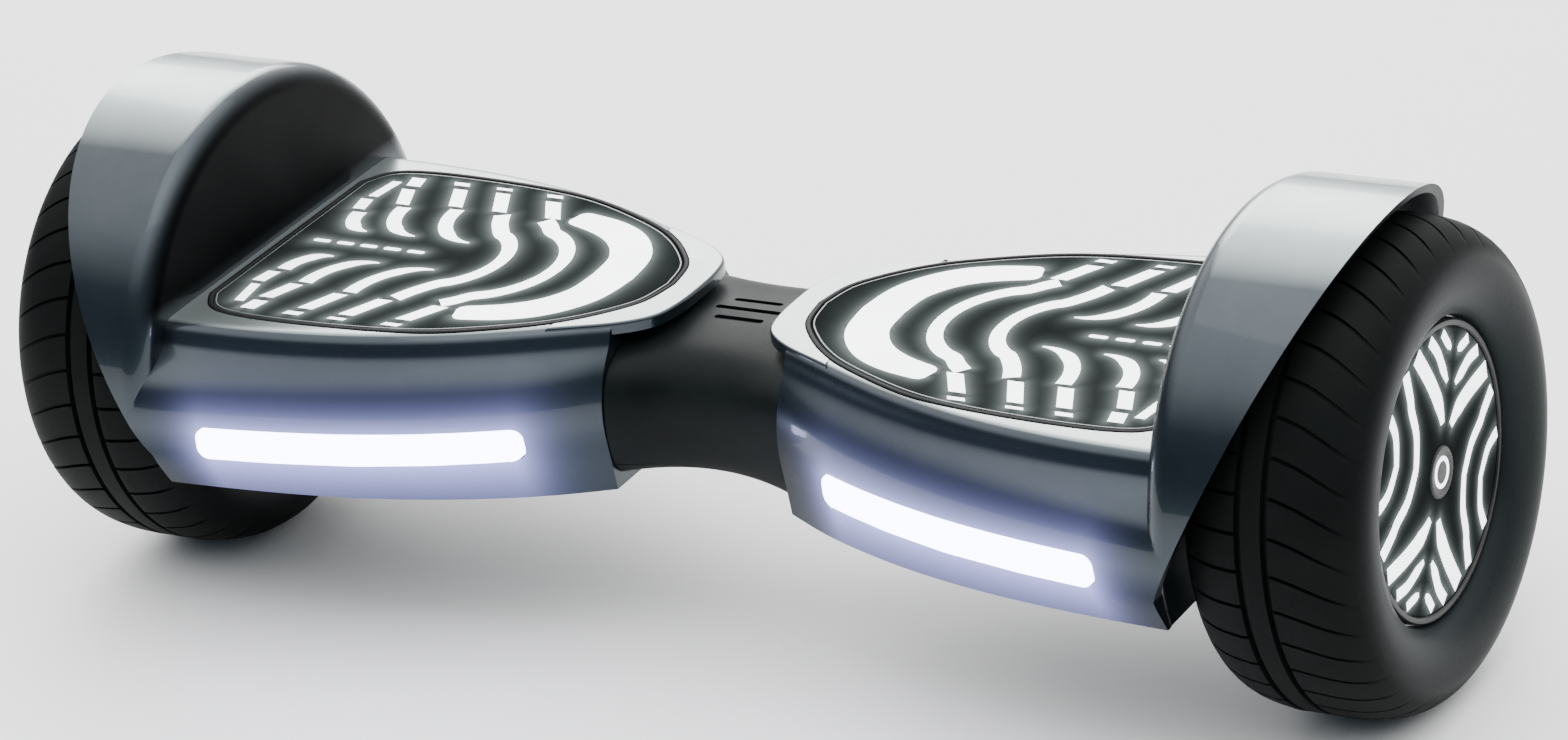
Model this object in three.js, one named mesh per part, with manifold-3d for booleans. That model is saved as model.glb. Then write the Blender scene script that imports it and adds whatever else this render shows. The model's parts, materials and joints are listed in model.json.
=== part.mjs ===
// A self-balancing board: two foot decks hinged at a waist, each with its own hub-motor wheel under a fender.
// Millimetres, +Z up, X along the wheel axle, -Y is the front with the lights. The origin is on the ground,
// midway between the wheels. Each half is drawn on the +X side, and the left one is mirrored.
import * as THREE from "three";
import { mergeVertices } from "three/addons/utils/BufferGeometryUtils.js";
import Module from "manifold-3d";

const wasm = await Module();
wasm.setup();

// Driving dimensions.
const gap = 0.3; // between pieces that touch
const tyreRadius = 108;
const tyreX = 301; // middle of the tyre
const tyreHalfWidth = 42;
const motorX = 299; // middle of the hub motor
const axleZ = tyreRadius;
const deckZ = 152; // top of the foot deck
const bottomZ = 76; // lowest edge of the casing
const tipX = 24.5; // inner end of the deck's lip
const seamX = 45; // inner end wall of the casing
const wallX = 252; // inboard face of the fender's wall
const skin = 2.6; // moulded wall thickness
const coverThick = 4; // bottom cover
const fenderRadius = 120.5;
const fenderThick = 4;
const rimRadius = 66;
const capRadius = 61.6;
const tubeRadius = 17; // steel tube that the two halves twist on
const tubeBore = 14;
const pinRadius = 3; // limit pin in the tube's slot
const bossX = [52, 104]; // where the chassis holds the tube
const lockRingX = bossX[1] + 0.6;
const chassisZ = [80.5, 92]; // the cast plate, low down so that the board hangs level from its axles
const twist = 10; // degrees either way at the waist
const padTravel = 1;
const buttonTravel = 1.2;

// Half depths of the casing from the inner end to the fender: at the bottom edge and at the deck's flat.
const stations = [
  { x: 45, bottom: 57, flat: 38 },
  { x: 70, bottom: 71, flat: 50 },
  { x: 93, bottom: 80, flat: 60.5 },
  { x: 116, bottom: 88, flat: 69.5 },
  { x: 151, bottom: 97, flat: 80 },
  { x: 192, bottom: 103, flat: 86.5 },
  { x: 222, bottom: 105.5, flat: 88.5 },
  { x: 252, bottom: 107.5, flat: 89 },
];

const colours = {
  paint: { color: 0x4b5a64, roughness: 0.3, metalness: 0.8 },
  blackPlastic: { color: 0x16191b, roughness: 0.5, metalness: 0 },
  padGloss: { color: 0x0b0d0e, roughness: 0.15, metalness: 0 },
  light: { color: 0xf2f6ff, roughness: 0.3, metalness: 0 },
  rubber: { color: 0x141617, roughness: 0.8, metalness: 0 },
  aluminium: { color: 0xa9adb0, roughness: 0.4, metalness: 1 },
  steel: { color: 0x8b8f93, roughness: 0.3, metalness: 1 },
  copper: { color: 0xa4622c, roughness: 0.4, metalness: 1 },
  board: { color: 0x14432c, roughness: 0.6, metalness: 0 },
  battery: { color: 0x1d3f7d, roughness: 0.5, metalness: 0 },
  bronze: { color: 0x9a7440, roughness: 0.4, metalness: 1 },
};
const materials = Object.fromEntries(
  Object.entries(colours).map(([name, look]) => [name, new THREE.MeshStandardMaterial(look)]),
);

// ---- solids: everything below works on manifold-3d solids made from three.js geometry ----

function solidFrom(geometry) {
  const bare = new THREE.BufferGeometry().setAttribute("position", geometry.getAttribute("position").clone());
  if (geometry.index) bare.setIndex(geometry.index.clone());
  const merged = mergeVertices(bare, 1e-4);
  const vertProperties = new Float32Array(merged.attributes.position.array);
  const triVerts = new Uint32Array(merged.index.array);
  const solid = new wasm.Manifold(new wasm.Mesh({ numProp: 3, vertProperties, triVerts }));
  if (solid.volume() > 0) return solid;
  for (let i = 0; i < triVerts.length; i += 3) {
    [triVerts[i + 1], triVerts[i + 2]] = [triVerts[i + 2], triVerts[i + 1]];
  }
  return new wasm.Manifold(new wasm.Mesh({ numProp: 3, vertProperties, triVerts }));
}

function geometryFrom(solid) {
  const { vertProperties, triVerts } = solid.getMesh();
  return new THREE.BufferGeometry()
    .setAttribute("position", new THREE.BufferAttribute(new Float32Array(vertProperties), 3))
    .setIndex(new THREE.BufferAttribute(new Uint32Array(triVerts), 1));
}

const join = (first, ...others) => others.reduce((all, one) => all.add(one), first);
const cut = (first, ...tools) => tools.reduce((left, tool) => left.subtract(tool), first);

const shapeOf = (points) => new THREE.Shape(points.map(([a, b]) => new THREE.Vector2(a, b)));

// A flat outline pushed along one axis. The outline's two numbers are the other two axes, in the order given.
function prism(points, from, to, basis) {
  const geometry = new THREE.ExtrudeGeometry(shapeOf(points), { depth: to - from, bevelEnabled: false });
  geometry.translate(0, 0, from);
  geometry.applyMatrix4(basis);
  return solidFrom(geometry);
}
const axis = { x: new THREE.Vector3(1, 0, 0), y: new THREE.Vector3(0, 1, 0), z: new THREE.Vector3(0, 0, 1) };
const basisOf = (a, b, c) => new THREE.Matrix4().makeBasis(axis[a], axis[b], axis[c]);
const prismX = (yz, x0, x1) => prism(yz, x0, x1, basisOf("y", "z", "x"));
const prismY = (zx, y0, y1) => prism(zx, y0, y1, basisOf("z", "x", "y"));
const prismZ = (xy, z0, z1) => prism(xy, z0, z1, basisOf("x", "y", "z"));

function box([x0, x1], [y0, y1], [z0, z1]) {
  const geometry = new THREE.BoxGeometry(x1 - x0, y1 - y0, z1 - z0);
  return solidFrom(geometry.translate((x0 + x1) / 2, (y0 + y1) / 2, (z0 + z1) / 2));
}

// A profile of [x, radius] turned about the wheel axis. A flat facet faces down, at the full radius.
function turned(profile, sides) {
  const grow = 1 / Math.cos(Math.PI / sides);
  const points = profile.map(([x, r]) => new THREE.Vector2(r * grow, x));
  const geometry = new THREE.LatheGeometry([...points, points[0]], sides, Math.PI / sides);
  return solidFrom(geometry.rotateZ(-Math.PI / 2).translate(0, 0, axleZ));
}
const ring = (x0, x1, inner, outer, sides) =>
  turned([[x0, inner], [x1, inner], [x1, outer], [x0, outer]], sides);
const rod = (x0, x1, radius, sides) => turned([[x0, 0], [x0, radius], [x1, radius], [x1, 0]], sides);

function post(x, y, z0, z1, radius, sides = 12) {
  const geometry = new THREE.CylinderGeometry(radius, radius, z1 - z0, sides);
  return solidFrom(geometry.rotateX(Math.PI / 2).translate(x, y, (z0 + z1) / 2));
}
function plugY(x, z, y0, y1, radius, sides = 20) {
  const geometry = new THREE.CylinderGeometry(radius, radius, y1 - y0, sides);
  return solidFrom(geometry.translate(x, (y0 + y1) / 2, z));
}

// A skin through rings of [y, z] points, one ring at each x, closed by a flat cap at both ends.
function loft(rings) {
  const count = rings[0].points.length;
  const position = rings.flatMap(({ x, points }) => points.flatMap(([y, z]) => [x, y, z]));
  const index = [];
  for (let i = 0; i + 1 < rings.length; i++) {
    for (let j = 0; j < count; j++) {
      const [a, b] = [i * count + j, i * count + ((j + 1) % count)];
      index.push(a, b, b + count, a, b + count, a + count);
    }
  }
  const capOf = (points) =>
    THREE.ShapeUtils.triangulateShape(points.map(([y, z]) => new THREE.Vector2(y, z)), []);
  const last = (rings.length - 1) * count;
  const facesPlusX = THREE.ShapeUtils.area(rings[0].points.map(([y, z]) => ({ x: y, y: z }))) > 0;
  const flip = (face) => [face[0], face[2], face[1]];
  for (const face of capOf(rings[0].points)) index.push(...(facesPlusX ? flip(face) : face));
  for (const face of capOf(rings.at(-1).points)) {
    index.push(...(facesPlusX ? face : flip(face)).map((k) => k + last));
  }
  const geometry = new THREE.BufferGeometry()
    .setAttribute("position", new THREE.Float32BufferAttribute(position, 3))
    .setIndex(index);
  return solidFrom(geometry);
}

// ---- the casing's outline ----

function along(key, x) {
  const next = Math.max(1, stations.findIndex((s) => s.x >= x));
  const [a, b] = [stations[next - 1], stations[next]];
  return THREE.MathUtils.mapLinear(x, a.x, b.x, a[key], b[key]);
}
const bottomHalf = (x) => along("bottom", x);
const flatHalf = (x) => along("flat", x);
// The casing swells above its bottom edge, by more next to the fender.
const wideHalf = (x) => bottomHalf(x) + THREE.MathUtils.mapLinear(x, seamX, wallX, 4, 13);

const mirrored = (half) => [...half.map(([y, z]) => [-y, z]), ...half.slice().reverse().map(([y, z]) => [y, z])];

// Half sections run from the bottom edge up to the deck.
function outerHalf(x) {
  const [flat, wide] = [flatHalf(x), wideHalf(x)];
  return [
    [bottomHalf(x), bottomZ],
    [wide - 2, 96],
    [wide, 112],
    [wide - 5, 131],
    [flat + 11.5, deckZ - 12],
    [flat + 9, deckZ - 9],
    [flat + 6, deckZ - 2.5],
    [flat, deckZ],
  ];
}
const recessFloorZ = deckZ - 5;
function innerHalf(x) {
  const wide = wideHalf(x) - skin;
  return [
    [bottomHalf(x) - skin, bottomZ - 6],
    [bottomHalf(x) - skin, bottomZ],
    [wide - 2, 96],
    [wide, 112],
    [wide - 6, 130],
    [flatHalf(x) + 3, recessFloorZ - skin],
  ];
}

// The foot pad's edge from its rounded tip to its straight outboard side, as [x, half depth].
const padEdge = new THREE.SplineCurve(
  [
    [40, 0], [43, 16], [49.5, 27], [64, 42], [83, 54.5], [119, 70], [150, 76.5], [190, 79.5], [222, 79],
    [238, 74.5], [246, 63],
  ].map(([x, y]) => new THREE.Vector2(x, y)),
).getPoints(20);
const padOutline = [
  ...padEdge.map(({ x, y }) => [x, y]),
  ...padEdge.slice(1).reverse().map(({ x, y }) => [x, -y]),
];
function grown(outline, by) {
  const centre = new THREE.Vector2(150, 0);
  return outline.map(([x, y], i) => {
    const before = outline.at(i - 1);
    const after = outline[(i + 1) % outline.length];
    const out = new THREE.Vector2(after[1] - before[1], before[0] - after[0]).normalize();
    if (out.dot(new THREE.Vector2(x, y).sub(centre)) < 0) out.negate();
    return [x + out.x * by, y + out.y * by];
  });
}

// The lip that carries the deck past the end wall, over the waist.
const lipHalf = [[tipX, 0], [25, 14], [28, 28], [35, 36.8], [46, 44.2], [60, 48]];
const lipOutline = [...lipHalf, ...lipHalf.slice(1).reverse().map(([x, y]) => [x, -y])];

// The light bar, which follows the casing's front. Depths are measured under the casing's surface.
const lamp = { x: [78, 228], z: [97, 112], lens: [0, 4], slot: [-5, 8], strip: [4.6, 6.2], stripInset: [4, 2] };
function frontBar([outside, inside], growX, growZ = growX) {
  const [x0, x1] = [lamp.x[0] - growX, lamp.x[1] + growX];
  const steps = Array.from({ length: 9 }, (_, i) => THREE.MathUtils.lerp(x0, x1, i / 8));
  const outer = steps.map((x) => [x, outside - wideHalf(x)]);
  const inner = steps.map((x) => [x, inside - wideHalf(x)]).reverse();
  return prismZ([...outer, ...inner], lamp.z[0] - growZ, lamp.z[1] + growZ);
}

// Rear controls, on the right half only.
const charger = { x: 222, z: axleZ, radius: 12, bore: 6.5, barrel: 9 };
const button = { x: 194, z: axleZ, radius: 7, length: 8 };
const rearHoleY = [100, 125]; // through the casing's rear wall
const plunger = { x: 154, y: 55, radius: 5, low: 136 };
const sensorBoardZ = [131.6, 133.2];
const boardPosts = { x: [144, 164], y: 38, radius: 2.5 }; // under the deck, to hold the sensor board
const axleRadius = 9; // through the motor; the clamped end is a little thinner
const axleEndRadius = 8;
const clampX = 231; // middle of the axle clamp
const boltY = 15;
const boltRadius = 3;
const pinX = 78;

const wellX = wallX + skin; // the wheel's side of the fender wall
const openEdge = { slope: 0.5, x0: 208 }; // the band's open edge leans out with height: x = x0 + slope * z
const rimRound = 12; // rounded inboard rim of the fender
const shellSides = 60;

// The closed drum that the fender is cut from, and the well that the wheel turns in.
function wheelDrum(x, radius, round, reach) {
  const rim = [0, 30, 60, 90].map((deg) => {
    const t = THREE.MathUtils.degToRad(deg);
    return [x + round * (1 - Math.cos(t)), radius - round * (1 - Math.sin(t))];
  });
  return turned([[x, 0], ...rim, [reach, radius], [reach, 0]], shellSides);
}

function fenderDrum() {
  const overTop = Array.from({ length: 31 }, (_, i) => {
    const t = (i / 30) * Math.PI;
    return [(fenderRadius + 1) * Math.cos(t), axleZ + (fenderRadius + 1) * Math.sin(t)];
  });
  const foot = [[bottomHalf(wallX), bottomZ], [wideHalf(wallX) - 2, 96]];
  const outline = [...foot, ...overTop, ...foot.slice().reverse().map(([y, z]) => [-y, z])];
  const reach = tyreX + 25;
  return wheelDrum(wallX, fenderRadius, rimRound, reach).intersect(prismX(outline, wallX - 5, reach + 5));
}

function beyondOpenEdge() {
  const edgeX = (z) => openEdge.x0 + openEdge.slope * z;
  const wallZ = (wellX + gap - openEdge.x0) / openEdge.slope; // below this the wall itself is the edge
  const [low, high, far] = [bottomZ - 10, 260, 400];
  const outline = [[low, edgeX(wallZ)], [wallZ, edgeX(wallZ)], [high, edgeX(high)], [high, far], [low, far]];
  return prismY(outline, -150, 150);
}

function topShell(side) {
  const xs = stations.map((s) => s.x);
  const outside = (x) => ({ x, points: mirrored(outerHalf(Math.min(x, wallX))) });
  const inside = (x) => ({ x, points: mirrored(innerHalf(x)) });
  const body = loft([...xs, wallX + rimRound + 2].map(outside));
  const hollow = loft([seamX + skin, ...xs.slice(1)].map(inside));
  const lip = prismZ(lipOutline, recessFloorZ, deckZ);
  const posts = [-1, 1].flatMap((s) =>
    boardPosts.x.map((x) => post(x, s * boardPosts.y, sensorBoardZ[1] + gap, recessFloorZ - 1, boardPosts.radius, 8)),
  );
  const lidded = cut(join(body, lip, fenderDrum()), hollow);
  const shell = cut(
    join(lidded, ...posts),
    wheelDrum(wellX, fenderRadius - fenderThick, rimRound - 2, 400),
    beyondOpenEdge(),
    prismZ(grown(padOutline, 2.5 + gap), recessFloorZ, deckZ + 5),
    frontBar(lamp.slot, gap),
    rod(seamX - 2, seamX + 8, tubeRadius + 2, 24),
    rod(wallX - 2, wallX + 5, axleRadius + 2, 24),
    ...[-1, 1].map((s) => post(plunger.x, s * plunger.y, plunger.low - 6, deckZ - 2, plunger.radius + 1)),
  );
  if (side === "left") return shell;
  return cut(
    shell,
    plugY(charger.x, charger.z, ...rearHoleY, charger.radius + gap),
    plugY(button.x, button.z, ...rearHoleY, button.radius + gap),
  );
}

function bottomCover() {
  const xs = [seamX + skin + gap, ...stations.slice(1, -1).map((s) => s.x), wallX - gap];
  const edge = xs.map((x) => [x, bottomHalf(x) - skin - gap]);
  const outline = [...edge, ...edge.slice().reverse().map(([x, y]) => [x, -y])];
  return prismZ(outline, bottomZ, bottomZ + coverThick);
}

function chassis(side) {
  const edge = [[52, 44], [70, 54], [116, 72], [151, 82], [192, 88], [246, 92]];
  const outline = [...edge, ...edge.slice().reverse().map(([x, y]) => [x, -y])];
  const plate = prismZ(outline, chassisZ[0], chassisZ[1]);
  const boss = rod(bossX[0], bossX[1], 24, 24);
  const saddle = box([216, 246], [-24, 24], [chassisZ[0], axleZ - gap]);
  const bore = side === "right" ? tubeRadius + 2 : tubeRadius + gap;
  return cut(
    join(plate, boss, saddle),
    rod(bossX[0] - 2, bossX[1] + 2, bore, 24),
    rod(bossX[1], lockRingX + 12, 21, 24),
    axleSeat(),
    post(pinX, 0, 120, 140, pinRadius + gap, 8),
    ...boltHoles(),
  );
}

const clampTop = 122;
const axleSeat = () => rod(200, 260, axleEndRadius + gap, 16);
const boltHoles = () => [-boltY, boltY].map((y) => post(clampX, y, 94, 130, boltRadius + gap, 8));
const clampBolt = (y) =>
  join(post(clampX, y, 95, clampTop + 1, boltRadius, 8), post(clampX, y, clampTop + gap, clampTop + 5, 5.5, 6));
const axleClamp = () =>
  cut(box([clampX - 12, clampX + 12], [-22, 22], [axleZ + gap, clampTop]), axleSeat(), ...boltHoles());

// A round shaft with two flats where it is clamped.
function axle() {
  const [inner, shoulder, outer, flatTo, flatHalf] = [206, 257, motorX + 19.9, 248, 6.5];
  const [end, full] = [axleEndRadius, axleRadius];
  const shaft = turned([[inner, 0], [inner, end], [shoulder, end], [shoulder, full], [outer, full], [outer, 0]], 16);
  const aside = (z0, z1) => box([inner - 6, flatTo], [-20, 20], [axleZ + z0, axleZ + z1]);
  return cut(shaft, aside(flatHalf, 20), aside(-20, -flatHalf));
}

// Twelve wound teeth round a hub that is keyed to the axle.
function stator() {
  const [teeth, toothRadius, slotRadius] = [12, 56.5, 38];
  const outline = Array.from({ length: teeth * 4 }, (_, i) => {
    const turn = ((Math.floor(i / 4) + [0.06, 0.66, 0.7, 1.02][i % 4]) / teeth) * 2 * Math.PI;
    const radius = i % 4 < 2 ? toothRadius : slotRadius;
    return [radius * Math.cos(turn), axleZ + radius * Math.sin(turn)];
  });
  return cut(prismX(outline, motorX - 20, motorX + 5), rod(motorX - 25, motorX + 10, axleRadius + gap, 16));
}

const shifted = (middle, profile) => profile.map(([x, r]) => [middle + x, r]);
const leftOf = (profile) => profile.map(([x, r]) => [-x, r]);
const wheelSides = 40;

function tyre() {
  const outer = [[26, rimRadius + gap], [32, rimRadius + gap], [39.5, 75], [tyreHalfWidth, 87], [38, 98], [29, 105]];
  const inner = [[33.5, 78], [35.5, 88], [31, 96.5], [20, 101.5]];
  const loop = [
    ...outer,
    [14, tyreRadius],
    [-14, tyreRadius],
    ...leftOf(outer).reverse(),
    ...leftOf(inner),
    ...inner.slice().reverse(),
  ];
  return turned(shifted(tyreX, loop), wheelSides);
}

// The hub motor's rotating can, closed outboard, with the outer bearing's seat.
function rim() {
  const loop = [
    [26, 0], [26, 60.5], [29, 60.5], [29, rimRadius], [-30, rimRadius], [-30, 60.5], [22, 60.5], [22, 22],
    [9, 22], [9, 17.8], [20.3, 17.8], [20.3, 0],
  ];
  return turned(shifted(motorX, loop), wheelSides);
}
function motorCover() {
  const loop = [[-34, 17.8], [-34, 65.5], [-30.3, 65.5], [-30.3, 22], [-24, 22], [-24, 17.8]];
  return turned(shifted(motorX, loop), 32);
}
function hubCap() {
  const loop = [[26.3, 0], [26.3, 40], [30.5, 44], [30.5, capRadius], [33, capRadius], [34.2, 40], [34.8, 0]];
  return turned(shifted(motorX, loop), 36);
}
function hubBezel() {
  const loop = [[29.3, 62], [33.4, 62], [34, 63.6], [33, 65.6], [29.3, 65.6]];
  return turned(shifted(motorX, loop), 36);
}
const bearing = (x0, x1) => ring(motorX + x0, motorX + x1, axleRadius + gap, 17.2, 20);

// ---- the waist between the halves ----

const waistX = [gap - seamX, seamX - 0.8]; // it is fixed to the left half, and the right one turns beside it
function waistHalf(x, inset) {
  const w = 52 + 8 * (x / seamX) ** 2 - inset;
  const crown = (y) => [y, 144 - inset - 0.0035 * y * y];
  return [
    [0.01, 80 + inset],
    [w - 9, 80 + inset],
    [w - 3, 86 + inset / 2],
    [w, 108],
    [w - 1.5, 122],
    [w - 8, 133 - inset],
    crown(w - 14),
    crown(22),
    crown(0.01),
  ];
}
function waist() {
  const xs = Array.from({ length: 7 }, (_, i) => THREE.MathUtils.lerp(waistX[0], waistX[1], i / 6));
  const outer = loft(xs.map((x) => ({ x, points: mirrored(waistHalf(x, 0)) })));
  const inner = loft(xs.map((x) => ({ x: x * 1.05, points: mirrored(waistHalf(x, skin)) })));
  return cut(outer, inner);
}
const waistSplitZ = 88; // the lower cover is a shallow tray
const waistUpper = () => waist().subtract(box([-60, 60], [-90, 90], [60, waistSplitZ + gap / 2]));
const waistLower = () => waist().subtract(box([-60, 60], [-90, 90], [waistSplitZ - gap / 2, 180]));

function pivotTube() {
  const slotHalf = THREE.MathUtils.degToRad(twist) + Math.asin((pinRadius + 0.2) / tubeBore);
  const slot = prismX(
    [[0, axleZ], [-40 * Math.sin(slotHalf), axleZ + 40 * Math.cos(slotHalf)],
      [40 * Math.sin(slotHalf), axleZ + 40 * Math.cos(slotHalf)]],
    pinX - pinRadius - 0.6,
    pinX + pinRadius + 0.6,
  );
  return cut(ring(-bossX[1], lockRingX + 8, tubeBore, tubeRadius, 24), slot);
}
const limitPin = () => join(post(pinX, 0, 119, 133, pinRadius, 8), post(pinX, 0, 132 + gap, 136, 5, 8));

// ---- electrics ----

function mainBoard() {
  return join(
    box([114, 204], [-40, 40], [96, 97.6]),
    box([124, 194], [-30, 30], [chassisZ[1] + gap, 96.5]),
    post(128, -28, 97, 117, 6, 10),
    post(142, -28, 97, 117, 6, 10),
    box([160, 198], [12, 34], [97, 106]),
  );
}
const batteryPack = () => box([110, 205], [-56, 56], [chassisZ[1] + gap, 116]);
function sensorBoard() {
  const top = sensorBoardZ[1];
  const sensor = (y) => box([plunger.x - 4, plunger.x + 4], [y - 4, y + 4], [top - 0.7, top + 1.4]);
  return join(box([138, 170], [-64, 64], sensorBoardZ), sensor(-plunger.y), sensor(plunger.y));
}
const socketFace = wideHalf(charger.x) - 3;
function chargeSocket() {
  return cut(
    join(
      plugY(charger.x, charger.z, socketFace - 3, socketFace, charger.radius),
      plugY(charger.x, charger.z, socketFace - 16, socketFace - 2, charger.barrel),
    ),
    plugY(charger.x, charger.z, socketFace - 13, socketFace + 2, charger.bore),
  );
}
const chargeCap = () => plugY(charger.x, charger.z, socketFace + gap, socketFace + 3, charger.radius);
const buttonFace = wideHalf(button.x) + 0.6;
const buttonBack = buttonFace - button.length;
const powerButton = () => plugY(button.x, button.z, buttonBack, buttonFace, button.radius);
const powerSwitch = () =>
  box([button.x - 8, button.x + 8], [buttonBack - 10, buttonBack - buttonTravel - gap], [axleZ - 8, axleZ + 8]);

// ---- assembly ----

function piece(name, solid, look) {
  const mesh = new THREE.Mesh(geometryFrom(solid), materials[look]);
  mesh.name = name;
  return mesh;
}

function half(side) {
  const group = new THREE.Group();
  const add = (name, solid, look) => group.add(piece(`${side}_${name}`, solid, look));

  add("top_shell", topShell(side), "paint");
  add("bottom_cover", bottomCover(), "blackPlastic");
  add("chassis", chassis(side), "aluminium");
  add("light_lens", frontBar(lamp.lens, 0), "light");
  add("light_strip", frontBar(lamp.strip, -lamp.stripInset[0], -lamp.stripInset[1]), "board");
  add("sensor_board", sensorBoard(), "board");

  add(
    "pad_gasket",
    cut(
      prismZ(grown(padOutline, 2.5), recessFloorZ + gap, deckZ + 0.4),
      prismZ(grown(padOutline, gap), recessFloorZ - 1, deckZ + 5),
    ),
    "rubber",
  );
  add("foot_pad", prismZ(padOutline, deckZ - 2, deckZ), "padGloss");
  add("pad_light_panel", prismZ(grown(padOutline, -6), recessFloorZ + padTravel + gap, deckZ - 2 - gap), "light");
  for (const [where, y] of [["front", -plunger.y], ["rear", plunger.y]]) {
    add(`pad_plunger_${where}`, post(plunger.x, y, plunger.low, recessFloorZ + padTravel, plunger.radius), "rubber");
  }

  add("axle", axle(), "steel");
  add("axle_clamp", axleClamp(), "aluminium");
  add("clamp_bolt_front", clampBolt(-boltY), "steel");
  add("clamp_bolt_rear", clampBolt(boltY), "steel");
  add("stator", stator(), "copper");

  add("tyre", tyre(), "rubber");
  add("rim", rim(), "aluminium");
  add("motor_cover", motorCover(), "aluminium");
  add("hub_cap", hubCap(), "padGloss");
  add("hub_bezel", hubBezel(), "blackPlastic");
  add("outer_bearing", bearing(10, 20), "steel");
  add("inner_bearing", bearing(-33.5, -24.5), "steel");

  if (side === "left") add("battery_pack", batteryPack(), "battery");
  if (side === "right") {
    add("main_board", mainBoard(), "board");
    add("charge_socket", chargeSocket(), "blackPlastic");
    add("charge_cap", chargeCap(), "rubber");
    add("power_button", powerButton(), "blackPlastic");
    add("power_switch", powerSwitch(), "blackPlastic");
    group.add(piece("pivot_bush_inner", ring(bossX[0], 64, tubeRadius + gap, 18.7, 24), "bronze"));
    group.add(piece("pivot_bush_outer", ring(92, bossX[1], tubeRadius + gap, 18.7, 24), "bronze"));
    group.add(piece("pivot_limit_pin", limitPin(), "steel"));
  }
  if (side === "left") group.scale.x = -1;
  return group;
}

const board = new THREE.Group();
board.add(half("left"), half("right"));
board.add(piece("waist_cover_upper", waistUpper(), "blackPlastic"));
board.add(piece("waist_cover_lower", waistLower(), "blackPlastic"));
board.add(piece("pivot_tube", pivotTube(), "steel"));
board.add(piece("pivot_lock_ring", ring(lockRingX, lockRingX + 3, tubeRadius + gap, 19.5, 24), "steel"));

export default board;
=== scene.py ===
import bpy
import json
import math
from mathutils import Matrix, Vector
from mathutils.kdtree import KDTree


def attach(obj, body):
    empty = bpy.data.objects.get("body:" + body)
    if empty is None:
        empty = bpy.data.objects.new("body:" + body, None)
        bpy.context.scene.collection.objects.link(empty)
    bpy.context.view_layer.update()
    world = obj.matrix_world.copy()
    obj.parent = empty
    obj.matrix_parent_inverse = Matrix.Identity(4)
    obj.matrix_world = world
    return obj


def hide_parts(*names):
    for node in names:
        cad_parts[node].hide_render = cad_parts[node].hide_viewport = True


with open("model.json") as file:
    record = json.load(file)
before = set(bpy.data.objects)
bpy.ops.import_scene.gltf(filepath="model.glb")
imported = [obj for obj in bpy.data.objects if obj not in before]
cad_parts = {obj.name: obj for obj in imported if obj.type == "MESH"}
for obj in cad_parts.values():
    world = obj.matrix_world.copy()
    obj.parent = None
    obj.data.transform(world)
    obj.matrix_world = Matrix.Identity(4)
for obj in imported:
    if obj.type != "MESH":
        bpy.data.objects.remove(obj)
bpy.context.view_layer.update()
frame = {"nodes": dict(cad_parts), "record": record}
nodes = frame["nodes"]
mm = 0.001
axleZ = 108
print("frame loaded")

camera = {
    "lens": 142.4,
    "azimuth": 33.0,
    "elevation": 24.98,
    "roll": -7.87,
    "distance": 2.767,
    "target": (0.0141, 0.0, 0.1157),
}


def makeCamera():
    azimuth, elevation, roll = (math.radians(camera[key]) for key in ("azimuth", "elevation", "roll"))
    right = Vector((math.cos(azimuth), math.sin(azimuth), 0))
    out = math.cos(elevation)
    back = Vector((math.sin(azimuth) * out, -math.cos(azimuth) * out, math.sin(elevation)))
    up = back.cross(right)
    sideways = right * math.cos(roll) + up * math.sin(roll)
    upright = up * math.cos(roll) - right * math.sin(roll)
    turn = Matrix((sideways, upright, back)).transposed()
    place = Vector(camera["target"]) + back * camera["distance"]
    bpy.ops.object.camera_add(location=place, rotation=turn.to_euler())
    bpy.context.object.data.lens = camera["lens"]
    bpy.context.scene.camera = bpy.context.object


makeCamera()
print("camera placed")


def deselectAll():
    bpy.ops.object.select_all(action="DESELECT")


def activate(piece):
    deselectAll()
    piece.select_set(True)
    bpy.context.view_layer.objects.active = piece


# A circle primitive whose points are moved onto an outline.
def outlinePiece(name, points, filled=True):
    deselectAll()
    bpy.ops.mesh.primitive_circle_add(vertices=len(points), fill_type="NGON" if filled else "NOTHING")
    piece = bpy.context.object
    piece.name = piece.data.name = name
    for vertex, point in zip(piece.data.vertices, points):
        vertex.co = Vector(point) * mm
    return piece


# A grid primitive whose rows of points are moved into place.
def gridPiece(name, rows):
    deselectAll()
    across, along = len(rows[0]) - 1, len(rows) - 1
    bpy.ops.mesh.primitive_grid_add(x_subdivisions=across, y_subdivisions=along)
    piece = bpy.context.object
    piece.name = piece.data.name = name
    for vertex, point in zip(piece.data.vertices, [point for row in rows for point in row]):
        vertex.co = Vector(point) * mm
    return piece


def applyModifier(piece, kind, **settings):
    activate(piece)
    bpy.ops.object.modifier_add(type=kind)
    modifier = piece.modifiers[-1]
    for key, value in settings.items():
        setattr(modifier, key, value)
    bpy.ops.object.modifier_apply(modifier=modifier.name)


def carve(piece, tool, operation="DIFFERENCE"):
    applyModifier(piece, "BOOLEAN", operation=operation, object=tool, solver="EXACT")
    bpy.data.objects.remove(tool)


def alignNormals(piece, merge=0.00001):
    activate(piece)
    bpy.ops.object.mode_set(mode="EDIT")
    bpy.ops.mesh.select_mode(type="VERT")
    bpy.ops.mesh.select_all(action="SELECT")
    bpy.ops.mesh.remove_doubles(threshold=merge)
    bpy.ops.mesh.delete_loose()
    bpy.ops.mesh.select_all(action="SELECT")
    bpy.ops.mesh.normals_make_consistent(inside=False)
    bpy.ops.object.mode_set(mode="OBJECT")


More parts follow.
